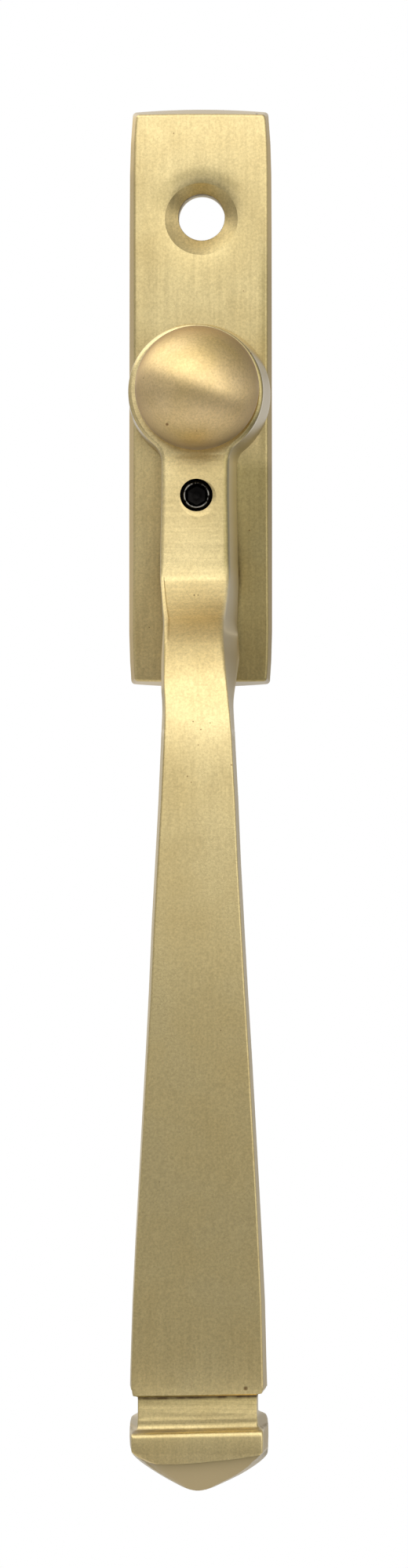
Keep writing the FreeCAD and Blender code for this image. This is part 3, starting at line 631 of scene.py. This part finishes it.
def lever_rear(z):
    """The depth of the lever's back: flat against the plate down to the heel, then up under the grip."""
    t = (-z - HEEL_END_DROP) / (GRIP_END_DROP - HEEL_END_DROP)
    under_grip = GRIP_BACK + 0.4 * t + 9.2 * t * (1 - t)
    heel = LEVER_BACK + (-z - HEEL_START_DROP) * (GRIP_BACK - LEVER_BACK) / (HEEL_END_DROP - HEEL_START_DROP)
    return soft_max(LEVER_BACK, soft_min(heel, under_grip, 3.9), 2.2)


def lever_edge(z):
    """How far in the front edge is rubbed: a little on the collar and the neck, more at the elbow."""
    return float(np.interp(-z, [6.5, 9.2, 21, 24.5, 27, 30, 34], [0.42, 0.55, 0.5, 0.55, 0.7, 0.5, 0.22]))


def lever_edge_drop(z):
    """How far down the sides the rubbed edge comes."""
    return float(np.interp(-z, [6.5, 9.2, 22, 27, 34], [0.36, 0.42, 0.4, 0.6, 0.22]))


# How far the grip stands off to the right at each drop.
GRIP_OFFSETS = [
    (20, 0), (35, 0.05), (38, 0.13), (48, 0.19), (55, 0.15), (62, 0.15), (77, 0.25), (92, 0.27), (106, 0.25),
    (114, 0.2), (123, 0.235), (123.6, 0.29), (123.94, 0.33), (124.48, 0.375), (125.03, 0.395), (125.76, 0.41),
    (126.49, 0.38), (127.05, 0.29), (127.5, 0.25), (127.72, 0.225), (128, 0.18),
]
# How much wider than a straight taper the grip is, on each side, at each drop.
GRIP_FULLNESS = [
    (36, -0.05), (40.5, 0), (48, 0.05), (55, 0.08), (62, 0.16), (70, 0.19), (77, 0.26), (84, 0.32), (92, 0.37),
    (99, 0.4), (106, 0.38), (113.5, 0.2), (116.7, 0.11),
]


def lever_sideways(z, depth):
    """The casting is a little crooked: its neck leans to the left and its grip stands off to the right."""
    down = np.clip((-z - 18) / 20, 0, 1)
    down = down * down * (3 - 2 * down)
    neck_lean = np.interp(-z, [2, 9], [0.036, 0.046]) * (depth - LEVER_BACK)
    grip_lean = np.interp(-z, [34, 40, 70, 105], [-0.009, 0.014, 0.01, -0.009]) * (depth - GRIP_MIDDLE)
    return float((np.interp(-z, *zip(*GRIP_OFFSETS)) + grip_lean) * down - neck_lean * (1 - down))


fillet_x = NECK_HALF + NECK_FILLET
fillet_z = -sqrt((COLLAR_RADIUS + NECK_FILLET) ** 2 - fillet_x ** 2)
meeting = atan2(fillet_z, fillet_x)
lever_path = [(COLLAR_RADIUS * cos(a), COLLAR_RADIUS * sin(a)) for a in np.linspace(pi / 2, meeting, 46)]
lever_path += [
    (fillet_x - NECK_FILLET * cos(a), fillet_z + NECK_FILLET * sin(a)) for a in np.linspace(-meeting, 0, 10)[1:]
]
# The rings stand closest at the elbow, where the lever bends most.
drops = np.concatenate([
    np.arange(-fillet_z + 0.35, 20.4, 0.55), np.arange(20.4, 27.0, 0.14), np.arange(27.0, 40.0, 0.3),
    np.linspace(40.0, GRIP_END_DROP - GRIP_CORNER, 110),
])
neck_widths = np.interp(
    drops, [-fillet_z, LOCK_DROP, 21.9, 27.2, GRIP_START_DROP], [NECK_HALF, NECK_HALF, 4.638, 4.391, GRIP_START_HALF]
)
grip_share = (drops - GRIP_START_DROP) / (GRIP_END_DROP - GRIP_START_DROP)
grip_widths = GRIP_START_HALF + (GRIP_END_HALF - GRIP_START_HALF) * grip_share
grip_widths += np.interp(drops, *zip(*GRIP_FULLNESS))
widths = np.where(drops > GRIP_START_DROP, grip_widths, neck_widths)
smoothed = np.convolve(np.pad(widths, 3, mode="edge"), np.array([1, 2, 4, 5, 4, 2, 1]) / 19, mode="valid")
widths = np.where(drops > 45, widths, smoothed)
lever_path = np.array(lever_path + [(width, -drop) for width, drop in zip(widths, drops)])
lever_normals = outward_normals(lever_path)
lever_normals[0] = (0, 1)
# Down the grip the draft pulls straight in.
upright = np.clip((-lever_path[:, 1:] - 38) / 12, 0, 1)
lever_normals = lever_normals * (1 - upright) + np.array([[1.0, 0.0]]) * upright
lever_rings = [
    casting_ring(
        lambda depth: point - normal * (depth - LEVER_BACK) * LEVER_TAPER, normal, lever_rear, lever_face,
        lever_edge(point[1]), edge_drop=lever_edge_drop(point[1]),
    )
    for point, normal in zip(lever_path, lever_normals)
]


# The crease above the point is filed deepest left of the middle.
CREASE_DIP = 1.15
CREASE_HALF = 7.6
DIP_SHAPE = [
    (-1, 0), (-0.95, 0.07), (-0.91, 0.19), (-0.84, 0.45), (-0.76, 0.69), (-0.68, 0.83), (-0.59, 0.91),
    (-0.5, 0.93), (-0.43, 0.94), (-0.28, 0.93), (-0.12, 0.88), (0.04, 0.79), (0.2, 0.68), (0.37, 0.57), (0.52, 0.46),
    (0.68, 0.32), (0.84, 0.16), (0.94, 0.04), (1, 0),
]


def end_ring(z, back_half, front_half, front, back, edge, slope=0.0, dip=0.0):
    """A ring of the lever's end. slope raises its right side, as the file went across by hand, and dip lowers its
    middle."""
    def wall(depth):
        return back_half + (front_half - back_half) * (depth - back) / (front - back), z

    def lowered(x, depth):
        return dip * float(np.interp(x / front_half, *zip(*DIP_SHAPE))) * (depth - back) / (front - back)

    ring = casting_ring(wall, (1.0, 0.0), lambda _: back, lambda *_: front, edge, min(edge, 0.12))
    return [(x, depth, height + slope * x - lowered(x, depth)) for x, depth, height in ring]


END_SLOPE = 0.022
grip_front, grip_back = float(front_depths[-1]), lever_rear(-GRIP_END_DROP)
grip_halves = [GRIP_END_HALF - (depth - LEVER_BACK) * LEVER_TAPER for depth in (grip_back, grip_front)]
for angle in np.linspace(0, pi / 2, 8)[1:-1]:
    pull = 0.34 * (1 - cos(angle))
    z = -(GRIP_END_DROP - GRIP_CORNER + GRIP_CORNER * sin(angle))
    lever_rings.append(end_ring(
        z, grip_halves[0] - pull, grip_halves[1] - pull * 0.5, lever_face(z, 0), grip_back, 0.2,
        END_SLOPE * sin(angle),
    ))
# The waist and the cap. Each row is a drop, half widths at the back and front, front, back, edge radius, slope.
WAIST_ROWS = [
    (116.72, 7.25, 7.1, grip_front - 0.02, 21.3, 0.15, 0.022),
    (116.78, 6.97, 6.92, grip_front - 0.08, 21.4, 0.1, 0.022),
    (116.8, 6.95, 6.9, 27, 21.9, 0.08, 0.022), (116.84, 6.94, 6.89, 26.6, 22.2, 0.08, 0.022),
    (116.9, 6.94, 6.89, 26.44, 22.35, 0.08, 0.02), (117, 6.94, 6.89, 26.43, 22.36, 0.08, 0.02),
    (117.1, 6.94, 6.88, 26.43, 22.38, 0.1, 0.016), (117.25, 6.94, 6.88, 26.44, 22.38, 0.1, 0.014),
    (118.2, 6.94, 6.88, 26.53, 22.38, 0.1, 0.012), (118.9, 6.95, 6.88, 26.6, 22.38, 0.1, 0.014),
    (119.06, 7.12, 6.88, 26.61, 22.3, 0.1, 0.018), (119.2, 7.42, 6.88, 26.62, 22.1, 0.1, 0.02),
    (119.35, 7.64, 6.88, 26.635, 21.8, 0.1, 0.02), (119.46, 7.76, 6.88, 26.65, 21.5, 0.1, 0.022),
    (119.56, 7.83, 6.88, 26.662, 21.3, 0.1, 0.022), (119.66, 7.88, 6.89, 26.664, 21.1, 0.1, 0.022),
    (119.9, 7.95, 6.9, 26.66, 20.85, 0.1, 0.024), (120.18, 8.02, 6.91, 26.66, 20.7, 0.1, 0.026),
    (120.3, 8.03, 6.92, 26.71, 20.65, 0.12, 0.026), (120.42, 8.04, 6.96, 26.77, 20.62, 0.14, 0.026),
    (120.52, 8.045, 7.02, 26.85, 20.6, 0.16, 0.026), (120.6, 8.05, 7.1, 26.94, 20.59, 0.18, 0.026),
    (120.67, 8.05, 7.2, 27.06, 20.58, 0.2, 0.026), (120.72, 8.055, 7.3, 27.2, 20.57, 0.2, 0.026),
    (120.76, 8.06, 7.4, 27.45, 20.56, 0.2, 0.026), (120.8, 8.06, 7.47, 27.75, 20.56, 0.2, 0.026),
    (120.84, 8.065, 7.52, 28, 20.56, 0.2, 0.026), (120.9, 8.07, 7.55, 28.18, 20.55, 0.2, 0.026),
    (120.98, 8.07, 7.57, 28.32, 20.55, 0.2, 0.026), (121.07, 8.07, 7.58, 28.41, 20.55, 0.2, 0.026),
    (121.17, 8.07, 7.58, 28.465, 20.55, 0.2, 0.025), (121.3, 8.07, 7.58, 28.495, 20.55, 0.2, 0.023),
    (121.5, 8.08, 7.58, 28.505, 20.55, 0.2, 0.018), (122.1, 8.08, 7.58, 28.51, 20.55, 0.2, 0.01),
]
lever_rings += [end_ring(-drop, *row) for drop, *row in WAIST_ROWS]
# Half widths of the cap's foot and its four-sided point.
POINT_HALVES = [
    (122.1, 8.08), (123.2, 8.04), (123.6, 7.97), (123.94, 7.9), (124.2, 7.745), (124.48, 7.445), (125.03, 6.755),
    (125.76, 5.56), (126.49, 4.22), (127.05, 3), (127.5, 1.98), (127.72, 1.415), (127.86, 0.94), (127.94, 0.5),
    (127.97, 0.12),
]
POINT_DROPS = [
    122.4, 122.7, 122.9, 123.05, 123.2, 123.32, 123.42, 123.45, 123.48, 123.52, 123.57, 123.64, 123.75, 123.9, 124.1,
    124.35, 124.6, 124.9, 125.3, 125.8, 126.3, 126.8, 127.2, 127.5, 127.7, 127.85, 127.94, 127.97,
]
CAP_START, CAP_FOOT, POINT_TIP = 122.1, 123.42, 127.97
CAP_FRONT, CAP_BACK = 28.51, 20.55
for drop in POINT_DROPS:
    t = np.clip((drop - CAP_FOOT) / (POINT_TIP - CAP_FOOT), 0, 1)
    rise = np.clip((drop - CAP_START) / (CAP_FOOT - CAP_START), 0, 1)
    back_half = float(np.interp(drop, *zip(*POINT_HALVES)))
    roll = 0.07 * np.clip((drop - 122.4) / (CAP_FOOT - 122.4), 0, 1) ** 2
    front = soft_min(CAP_FRONT - roll, CAP_FRONT + 0.04 - 4.05 * t, 0.04)
    inset = 0.5 * (1 - t) + 0.19 * (front - 22.5) * np.clip((drop - 123.2) / 1.1, 0, 1)
    lever_rings.append(end_ring(
        -drop, back_half, back_half - inset * min(back_half / 2.8, 1), front, CAP_BACK + 3.98 * t,
        0.2 * (1 - t) + 0.015, 0.01 * (1 - rise), CREASE_DIP * rise * (1 - t),
    ))


def whole_lever_face(z, x):
    """The front's depth down to the cap, with the waist."""
    if z > -GRIP_END_DROP:
        return lever_face(z, x)
    return float(np.interp(-z, [row[0] for row in WAIST_ROWS], [row[3] for row in WAIST_ROWS]))


lever = casting_piece("lever_cast", lever_rings, lever_sideways)

NECK_AT_SCREW = lever_face(-LOCK_DROP, 0)
SCREW_BORE = 1.92
SCREW_ASIDE = -0.2
screw_bore_cutter = turned_piece(
    "cutter", [(0, 0), (SCREW_BORE, 0), (SCREW_BORE, NECK_AT_SCREW + 0.5), (0, NECK_AT_SCREW + 0.5)],
    (SCREW_ASIDE, -LOCK_DROP),
)
# The bore's mouth is eased by hand with a drill that stood a little to the right of its middle.
MOUTH_ASIDE = 0.18
mouth_profile = [(0, -0.3), (1.6, -0.3), (1.6, -0.165), (3.3, 0.345), (0, 0.345)]
screw_mouth_cutter = turned_piece(
    "cutter", [(radius, NECK_AT_SCREW + rise) for radius, rise in mouth_profile],
    (SCREW_ASIDE + MOUTH_ASIDE, -LOCK_DROP),
)
cut_from(lever, [screw_bore_cutter, screw_mouth_cutter])
crease_sharp_edges(lever, 38)
shade_face(lever, lever_face, lever_sideways, -(GRIP_END_DROP - GRIP_CORNER))


def below_crease(x, z):
    """How far a point lies below the crease that divides the cap's face from the point."""
    return -z - CAP_FOOT - CREASE_DIP * float(np.interp(x / CREASE_HALF, *zip(*DIP_SHAPE)))


def lever_side(x, depth, z):
    """The sides and the point keep the casting's skin."""
    if z < -CAP_FOOT + 0.02 and below_crease(x, z) > 0.03:
        return 1.0
    return np.clip((whole_lever_face(z, x) - depth - (0.08 if z > -121.6 else 0.2)) / 0.3, 0, 1)


mark_points(lever, "cast_side", lever_side)
# Painted light: the casting's skin is painted palest on the right side of the neck and collar.
mark_points(lever, "painted_light", lambda x, depth, z: (x > 2.5) * np.interp(
    -z, [-7, -4, 5, 9, 24, 31], [0, 0.25, 0.25, 1, 0.8, 0]
))
mark_points(lever, "filed_across", lambda x, depth, z: np.interp(
    -z, [8, 12, 26, 29, 116.7, 116.9, 120.3, 120.5], [0.25, 0.4, 0.4, 0, 0, 1, 1, 0]
))
mark_points(lever, "linished_along", lambda x, depth, z: np.interp(
    -z, [26, 30, 42, 56, 104, 112, 116], [0, 1, 0.8, 0.16, 0.14, 0.35, 0.4]
))
# The collar's front is buffed brighter than the rest, and the elbow is matt.
mark_points(lever, "matt", lambda x, depth, z: 0.0 if z > -9 and depth < COLLAR_FRONT - 0.7 else np.interp(
    -z, [4, 9, 20.5, 24, 30.5, 34, 38], [-0.8, 0, 0, 1, 1, 0.35, 0]
))


def lever_painted_shade(x, depth, z):
    """Painted shade under the crease, in the waist, down the grip, on the elbow's left side, and on the right of the
    neck and collar.
    """
    if z < -CAP_FOOT + 0.02:
        return 0.75 * exp(-below_crease(x, z) / 0.7) if below_crease(x, z) > 0.04 else 0.0
    along = np.interp(-z, [7, 9, 21, 26, 38, 44, 50, 80, 110, 116.7, 116.8, 117.4, 118.2, 120.2, 120.5, 121.6], [
        0, 0.06, 0.06, 0, 0, 0.18, 0.22, 0.26, 0.28, 0.12, 0.9, 0.7, 0.38, 0.34, 0.12, 0.2
    ])
    on_neck = np.interp(-z, [6, 8, 20, 23], [0, 1, 1, 0])
    neck = max(0.42 * np.clip((x + 2.2) / 6, 0, 1), np.clip((x - 2.75) / 0.45, 0, 1)) * on_neck
    under = whole_lever_face(z, x) - depth
    elbow = 0.6 * (x < -3.4) * (under > 0.04) * np.interp(-z, [21, 24, 32, 36], [0, 1, 1, 0])
    if z > -8:
        right = 0.85 * np.clip((x - 3) / 3, 0, 1) * np.interp(-z, [-7, -3, 7, 8], [0, 1, 1, 0.6])
        return max(along, neck, right) if under < 0.3 else 0.0
    return max(along, neck, elbow) if under < 0.6 else 0.0


# Painted shade on the lever's brass, which darkens its colour with grey.
mark_points(lever, "painted_shade", lever_painted_shade)
# Painted shade: a dark matt brown in the waist's two corners and round the foot of the ball.
mark_points(lever, "painted_recess_shade", lambda x, depth, z: (
    exp(-((z + 117.0 - END_SLOPE * x) / 0.13) ** 2) + 0.4 * exp(-((z + 120.72 - 0.026 * x) / 0.16) ** 2)
    + 0.35 * exp(-((hypot(x, z) - 3.0) / 0.5) ** 2) * (depth > COLLAR_FRONT - 0.2)
))

# Brown specks, as x, z and radius.
LEVER_MARKS = [
    (-0.3, -38.9, 0.09), (0.6, -39.8, 0.08), (0.3, -41.6, 0.07), (1.67, -39.05, 0.07), (-0.95, -45.2, 0.08),
    (-0.5, -45.9, 0.07), (4.1, -43.9, 0.09), (-0.4, -24.0, 0.09), (0.05, -24.0, 0.07), (5.75, -115.9, 0.24),
    (-6.3, 3.7, 0.11), (6.2, 4.4, 0.1), (-4.2, -92.0, 0.06), (2.9, -74.5, 0.06),
]
lever_brass = satin_brass("linished_brass_lever", "#F0DBA2", "#E4CD93", "#C3B189", 0.28, LEVER_MARKS, 0.6)
add_recess_shade(lever_brass)
add_file_marks(lever_brass, "filed_across", (0.06, 1.0), 0.00022, 0.000012)
add_file_marks(lever_brass, "linished_along", (1.0, 0.03), 0.00025, 0.000004)
give_finish(lever, lever_brass)

SPIGOT_RADIUS = 6.0
SPIGOT_BACK = 0.3
GROOVE_DEPTH = 0.94
GROOVE_RADIUS = 0.47
# The snap ring's groove, and the spindle's square socket, which runs right through the spigot.
groove = [
    (SPIGOT_RADIUS + 0.07 - GROOVE_RADIUS * cos(a), GROOVE_DEPTH + GROOVE_RADIUS * sin(a))
    for a in np.linspace(-1.38, 1.38, 13)
]
spigot = turned_piece(
    "lever_spigot",
    [(0, SPIGOT_BACK), (SPIGOT_RADIUS - 0.15, SPIGOT_BACK), (SPIGOT_RADIUS, SPIGOT_BACK + 0.12)] + groove
    + [(SPIGOT_RADIUS, 1.5), (SPIGOT_RADIUS, LEVER_BACK + 0.4), (0, LEVER_BACK + 0.4)],
)
SOCKET_HALF = 3.55
socket_points = [
    Vector((x * SOCKET_HALF, y, z * SOCKET_HALF)) * MM
    for y in (8, -8) for x, z in ((1, 1), (-1, 1), (-1, -1), (1, -1))
]
socket_cutter = clean_piece("cutter", socket_points, band_faces(2, 4) + [(3, 2, 1, 0), (4, 5, 6, 7)])
cut_from(spigot, [socket_cutter])
crease_sharp_edges(spigot, 30)
give_finish(spigot, satin_brass("turned_brass_spigot", "#E3C98C", "#D3B678", "#B5A78A", 0.3))
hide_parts("lever")
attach(lever, "lever")
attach(spigot, "lever")


# Ball knob: a solid brass ball, turned on a lathe with its stud, then buffed by hand to a soft satin.
# It stands on a small flat in the middle of the collar, and its stud draws the spindle into the lever.
BALL_RADIUS = 7.22
BALL_CENTRE = 21.4
BALL_SEAT_RADIUS = 2.927
STUD_RADIUS = 2.0
STUD_END = 5.55
seat_angle = asin(BALL_SEAT_RADIUS / BALL_RADIUS)
ball_profile = [
    (BALL_RADIUS * sin(a), BALL_CENTRE + BALL_RADIUS * cos(a)) for a in np.linspace(0, pi - seat_angle, 90)
]
ball_profile += [
    (STUD_RADIUS, COLLAR_FRONT), (STUD_RADIUS, STUD_END + 0.4), (STUD_RADIUS - 0.4, STUD_END), (0, STUD_END)
]
ball = turned_piece("ball_turned", ball_profile, segments=160)
crease_sharp_edges(ball, 30)
# Towards its back and round its rim the ball takes a paler, greyer and rougher colour, a painted reflection of the pale
# room.
mark_points(ball, "cast_side", lambda x, depth, z: 0.9 * np.clip((25.8 - depth) / 3.4, 0, 1))
# Painted shade low on the ball, darkest just above its foot.
mark_points(ball, "painted_shade", lambda x, depth, z: np.interp(z, [-7.2, -6.4, -5.4, -4.2, -3], [0.1, 0.5, 0.5, 0.2, 0]))
mark_points(ball, "matt", lambda x, depth, z: np.interp(z, [-7.2, -4.5, -2, 4.8, 6.3], [0.8, 0.4, 0, 0, 0.9]))
mark_points(ball, "buffed", lambda x, depth, z: 0.6)

BALL_MARKS = [(-3.35, -4.5, 0.17), (-6.1, 0.9, 0.06), (0.1, -5.3, 0.06)]
ball_brass = satin_brass("buffed_brass_ball", "#F4D7A2", "#E4C788", "#E3D1B0", 0.3, BALL_MARKS, 0.6)
add_file_marks(ball_brass, "buffed", (1.0, 0.06), 0.00026, 0.000004)
ball_brass.node_tree.nodes["Principled BSDF"].inputs["Specular Tint"].default_value = linear_colour("#B8A48C")
give_finish(ball, ball_brass)
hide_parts("ball_knob")
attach(ball, "lever")


# Lock screw: a socket set screw in blackened steel, screwed into the neck a little below its face.
# Driven back with a hexagon key, its point enters the blind hole in the plate and holds the lever shut.
SCREW_RADIUS = 1.88
SCREW_FRONT = NECK_AT_SCREW - 0.4
SCREW_LENGTH = 7.0
POINT_RADIUS = 1.45
POINT_LENGTH = 0.8
HEXAGON_HALF = 1.0
HEXAGON_DEPTH = 2.2
THREAD_PITCH = 0.7
THREAD_ROOT = 1.66
RIM_RADIUS = 1.42


def hexagon_radius(angle, half, rounding):
    """The distance to a hexagon's wall with its corners up and down, eased by a rounding."""
    turn = (angle + pi / 6) % (pi / 3) - pi / 6
    wall = half / cos(turn)
    return soft_min(wall, half * 1.1547 - rounding * 0.3, rounding)


# Each row is a radius, how far it lies behind the front, and how far it follows the socket's hexagon.
screw_rows = [
    (0, HEXAGON_DEPTH + 0.35, 0), (0.45, HEXAGON_DEPTH + 0.1, 0.5), (HEXAGON_HALF, HEXAGON_DEPTH, 1),
    (HEXAGON_HALF, 1.6, 1), (HEXAGON_HALF, 1.1, 1), (HEXAGON_HALF, 0.62, 1), (HEXAGON_HALF + 0.06, 0.5, 0.9),
    (HEXAGON_HALF + 0.2, 0.26, 0.4), (1.3, 0.1, 0), (1.34, 0.04, 0), (1.38, 0.008, 0), (RIM_RADIUS, 0, 0),
    (1.46, 0.012, 0), (1.52, 0.05, 0), (1.62, 0.17, 0), (1.8, 0.38, 0), (SCREW_RADIUS, 0.5, 0),
]
for turn in range(int((SCREW_LENGTH - 1.2) / THREAD_PITCH)):
    top = 0.6 + turn * THREAD_PITCH
    screw_rows += [(SCREW_RADIUS, top, 0), (THREAD_ROOT, top + 0.3, 0), (THREAD_ROOT, top + 0.38, 0)]
    screw_rows.append((SCREW_RADIUS, top + 0.66, 0))
screw_rows += [
    (SCREW_RADIUS, SCREW_LENGTH - 0.36, 0), (1.6, SCREW_LENGTH, 0), (POINT_RADIUS, SCREW_LENGTH, 0),
    (POINT_RADIUS, SCREW_LENGTH + POINT_LENGTH - 0.1, 0), (1.32, SCREW_LENGTH + POINT_LENGTH, 0),
    (0, SCREW_LENGTH + POINT_LENGTH, 0),
]
hexagon_shares = {(radius, SCREW_FRONT - behind): share for radius, behind, share in screw_rows}


def socket_shape(radius, depth, angle):
    """Draws a point of the turned screw towards the socket's hexagon, by its row's share."""
    corner = hexagon_radius(angle, radius, 0.05)
    return radius + (corner - radius) * hexagon_shares[radius, depth], depth


lock_screw = turned_piece("lock_screw_threaded", list(hexagon_shares), (SCREW_ASIDE, -LOCK_DROP), 144, socket_shape)
crease_sharp_edges(lock_screw, 40)
# Black oxide on steel is nearly black and oily, with a cool sheen. Round the socket a ring of flecks of about
# 0.4 mm is painted pale grey metal, partly wear and partly a painted glint.
black_oxide, tree, shader = new_finish("black_oxide_steel")
flecks = patches(tree, 0.0004, 4.0)
wear_and_glint = reckon(tree, "MULTIPLY", mark_on_mesh(tree, "wear_and_painted_glint"), spread(tree, flecks, 0.4, 0.55))
set_inputs(shader, {
    "Base Color": mix_colours(tree, wear_and_glint, mix_colours(tree, flecks, "#121212", "#262422"), "#B9B6AE"),
    "Roughness": spread(tree, flecks, 0.3, 0.7, 0.3, 0.46),
    "Metallic": 1.0,
})
add_relief(shader, flecks, 0.000006)
mark_points(lock_screw, "wear_and_painted_glint", lambda x, depth, z: (
    exp(-((hypot(x - SCREW_ASIDE, z + LOCK_DROP) - RIM_RADIUS) / 0.07) ** 2) * (depth > SCREW_FRONT - 0.15)
))
give_finish(lock_screw, black_oxide)
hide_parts("lock_screw")
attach(lock_screw, "lock_screw")


# Stage: a pale floor well below the handle, which fades into the white round it.
FLOOR_Z = -0.26
FLOOR_HALF = 0.5
floor_corners = [(x * FLOOR_HALF, y * FLOOR_HALF, FLOOR_Z) for x, y in ((-1, -1), (1, -1), (1, 1), (-1, 1))]
floor_mesh = bpy.data.meshes.new("floor")
floor_mesh.from_pydata(floor_corners, [], [(0, 1, 2, 3)])
floor = new_object("floor", floor_mesh)
floor_paint, tree, shader = new_finish("pale_floor_paint")
flat = reckon_vector(tree, "MULTIPLY", place_on_piece(tree), (1, 1, 0)).outputs[0]
reach = reckon_vector(tree, "LENGTH", flat).outputs["Value"]
set_inputs(shader, {
    "Base Color": linear_colour("#E2E0DC"),
    "Roughness": 0.8,
    "Alpha": spread(tree, reach, 0.12, 0.48, 1.0, 0.0, "SMOOTHSTEP"),
})
give_finish(floor, floor_paint)


# Light: a soft studio. A broad bright panel hangs high in front, more to the left than the right, and
# the room is dim at eye level and below. The backdrop behind the object is plain white.
world = bpy.data.worlds.new("studio")
bpy.context.scene.world = world
world.use_nodes = True
sky = world.node_tree
sky.nodes.clear()
direction = add_node(sky, "ShaderNodeTexCoord").outputs["Generated"]
axes = add_node(sky, "ShaderNodeSeparateXYZ", {0: direction})


def sky_ramp(value, low, high, stops):
    """Brightness by a value between low and high. Each stop is a value and a brightness."""
    ramp = add_node(sky, "ShaderNodeValToRGB", {0: spread(sky, value, low, high)})
    ramp.color_ramp.interpolation = "EASE"
    elements = ramp.color_ramp.elements
    elements.remove(elements[-1])
    brightest = max(brightness for _, brightness in stops)
    for number, (level, brightness) in enumerate(stops):
        position = (level - low) / (high - low)
        element = elements[0] if number == 0 else elements.new(position)
        element.position = position
        element.color = (brightness / brightest,) * 3 + (1,)
    return reckon(sky, "MULTIPLY", ramp.outputs[0], brightest)


def weighed(*weights):
    """A weighted sum of the direction's parts, as a height on a tilted axis."""
    return reckon_vector(sky, "DOT_PRODUCT", direction, weights).outputs["Value"]


panel = sky_ramp(weighed(1, 0.6, 0.75), -1.5, 1.5, [
    (-1.5, 1.5), (-0.1, 1.5), (0.2, 1.4), (0.4, 1.22), (0.6, 0.98), (0.8, 0.74), (1, 0.58), (1.2, 0.45), (1.4, 0.36),
])
dim_room = sky_ramp(axes.outputs["Z"], -1, 1, [
    (-1, 0.46), (-0.8, 0.45), (-0.5, 0.47), (-0.22, 0.36), (-0.05, 0.35), (0.1, 0.4), (1, 0.4),
])
towards_back = sky_ramp(axes.outputs["Y"], -1, 1, [(-1, 1), (-0.4, 0.86), (0.1, 0.78), (0.5, 0.9), (0.8, 1.35)])
towards_side = sky_ramp(axes.outputs["X"], -1, 1, [(-1, 1.5), (-0.5, 1.28), (0, 1), (1, 0.9)])
dim_part = reckon(sky, "MULTIPLY", dim_room, reckon(sky, "MULTIPLY", towards_back, towards_side))
in_panel = spread(sky, weighed(0.38, 0.0, 1.0), -0.12, 0.3, interpolation="SMOOTHSTEP")
backdrop = spread(sky, axes.outputs["Y"], 0.91, 0.985, interpolation="SMOOTHSTEP")
around = mix_values(sky, backdrop, mix_values(sky, in_panel, dim_part, panel), 1.0)
room_light, white = (
    add_node(sky, "ShaderNodeBackground", {"Color": (1, 1, 1, 1), "Strength": strength}).outputs[0]
    for strength in (around, 1.0)
)
to_camera = add_node(sky, "ShaderNodeLightPath").outputs["Is Camera Ray"]
seen = add_node(sky, "ShaderNodeMixShader", {0: to_camera, 1: room_light, 2: white})
add_node(sky, "ShaderNodeOutputWorld", {0: seen.outputs[0]})

# A weak softbox, high on the left in front, gives the highlights their middle.
softbox_data = bpy.data.lights.new("softbox", "AREA")
softbox_data.shape = "RECTANGLE"
softbox_data.size = 1.1
softbox_data.size_y = 0.7
softbox_data.energy = 0.6
softbox_data.color = (1.0, 0.98, 0.94)
softbox = new_object("softbox", softbox_data)
softbox.location = (-0.55, -1.35, 1.1)
softbox.rotation_euler = (Vector((0, 0, -0.03)) - softbox.location).to_track_quat("-Z", "Y").to_euler()


# Camera: level with the middle of the handle, 0.8 m away and a little to its right, with a long lens.
CAMERA_PLACE = Vector((0.0165, -0.800, -0.0461))
AIM = Vector((0.0004, 0.0, -0.0461))
camera_data = bpy.data.cameras.new("camera")
camera_data.lens = 153.7
camera_data.sensor_width = 36.0
camera = new_object("camera", camera_data)
camera.location = CAMERA_PLACE
camera.rotation_euler = (AIM - CAMERA_PLACE).to_track_quat("-Z", "Y").to_euler()
bpy.context.scene.camera = camera
bpy.context.scene.view_settings.view_transform = "Standard"
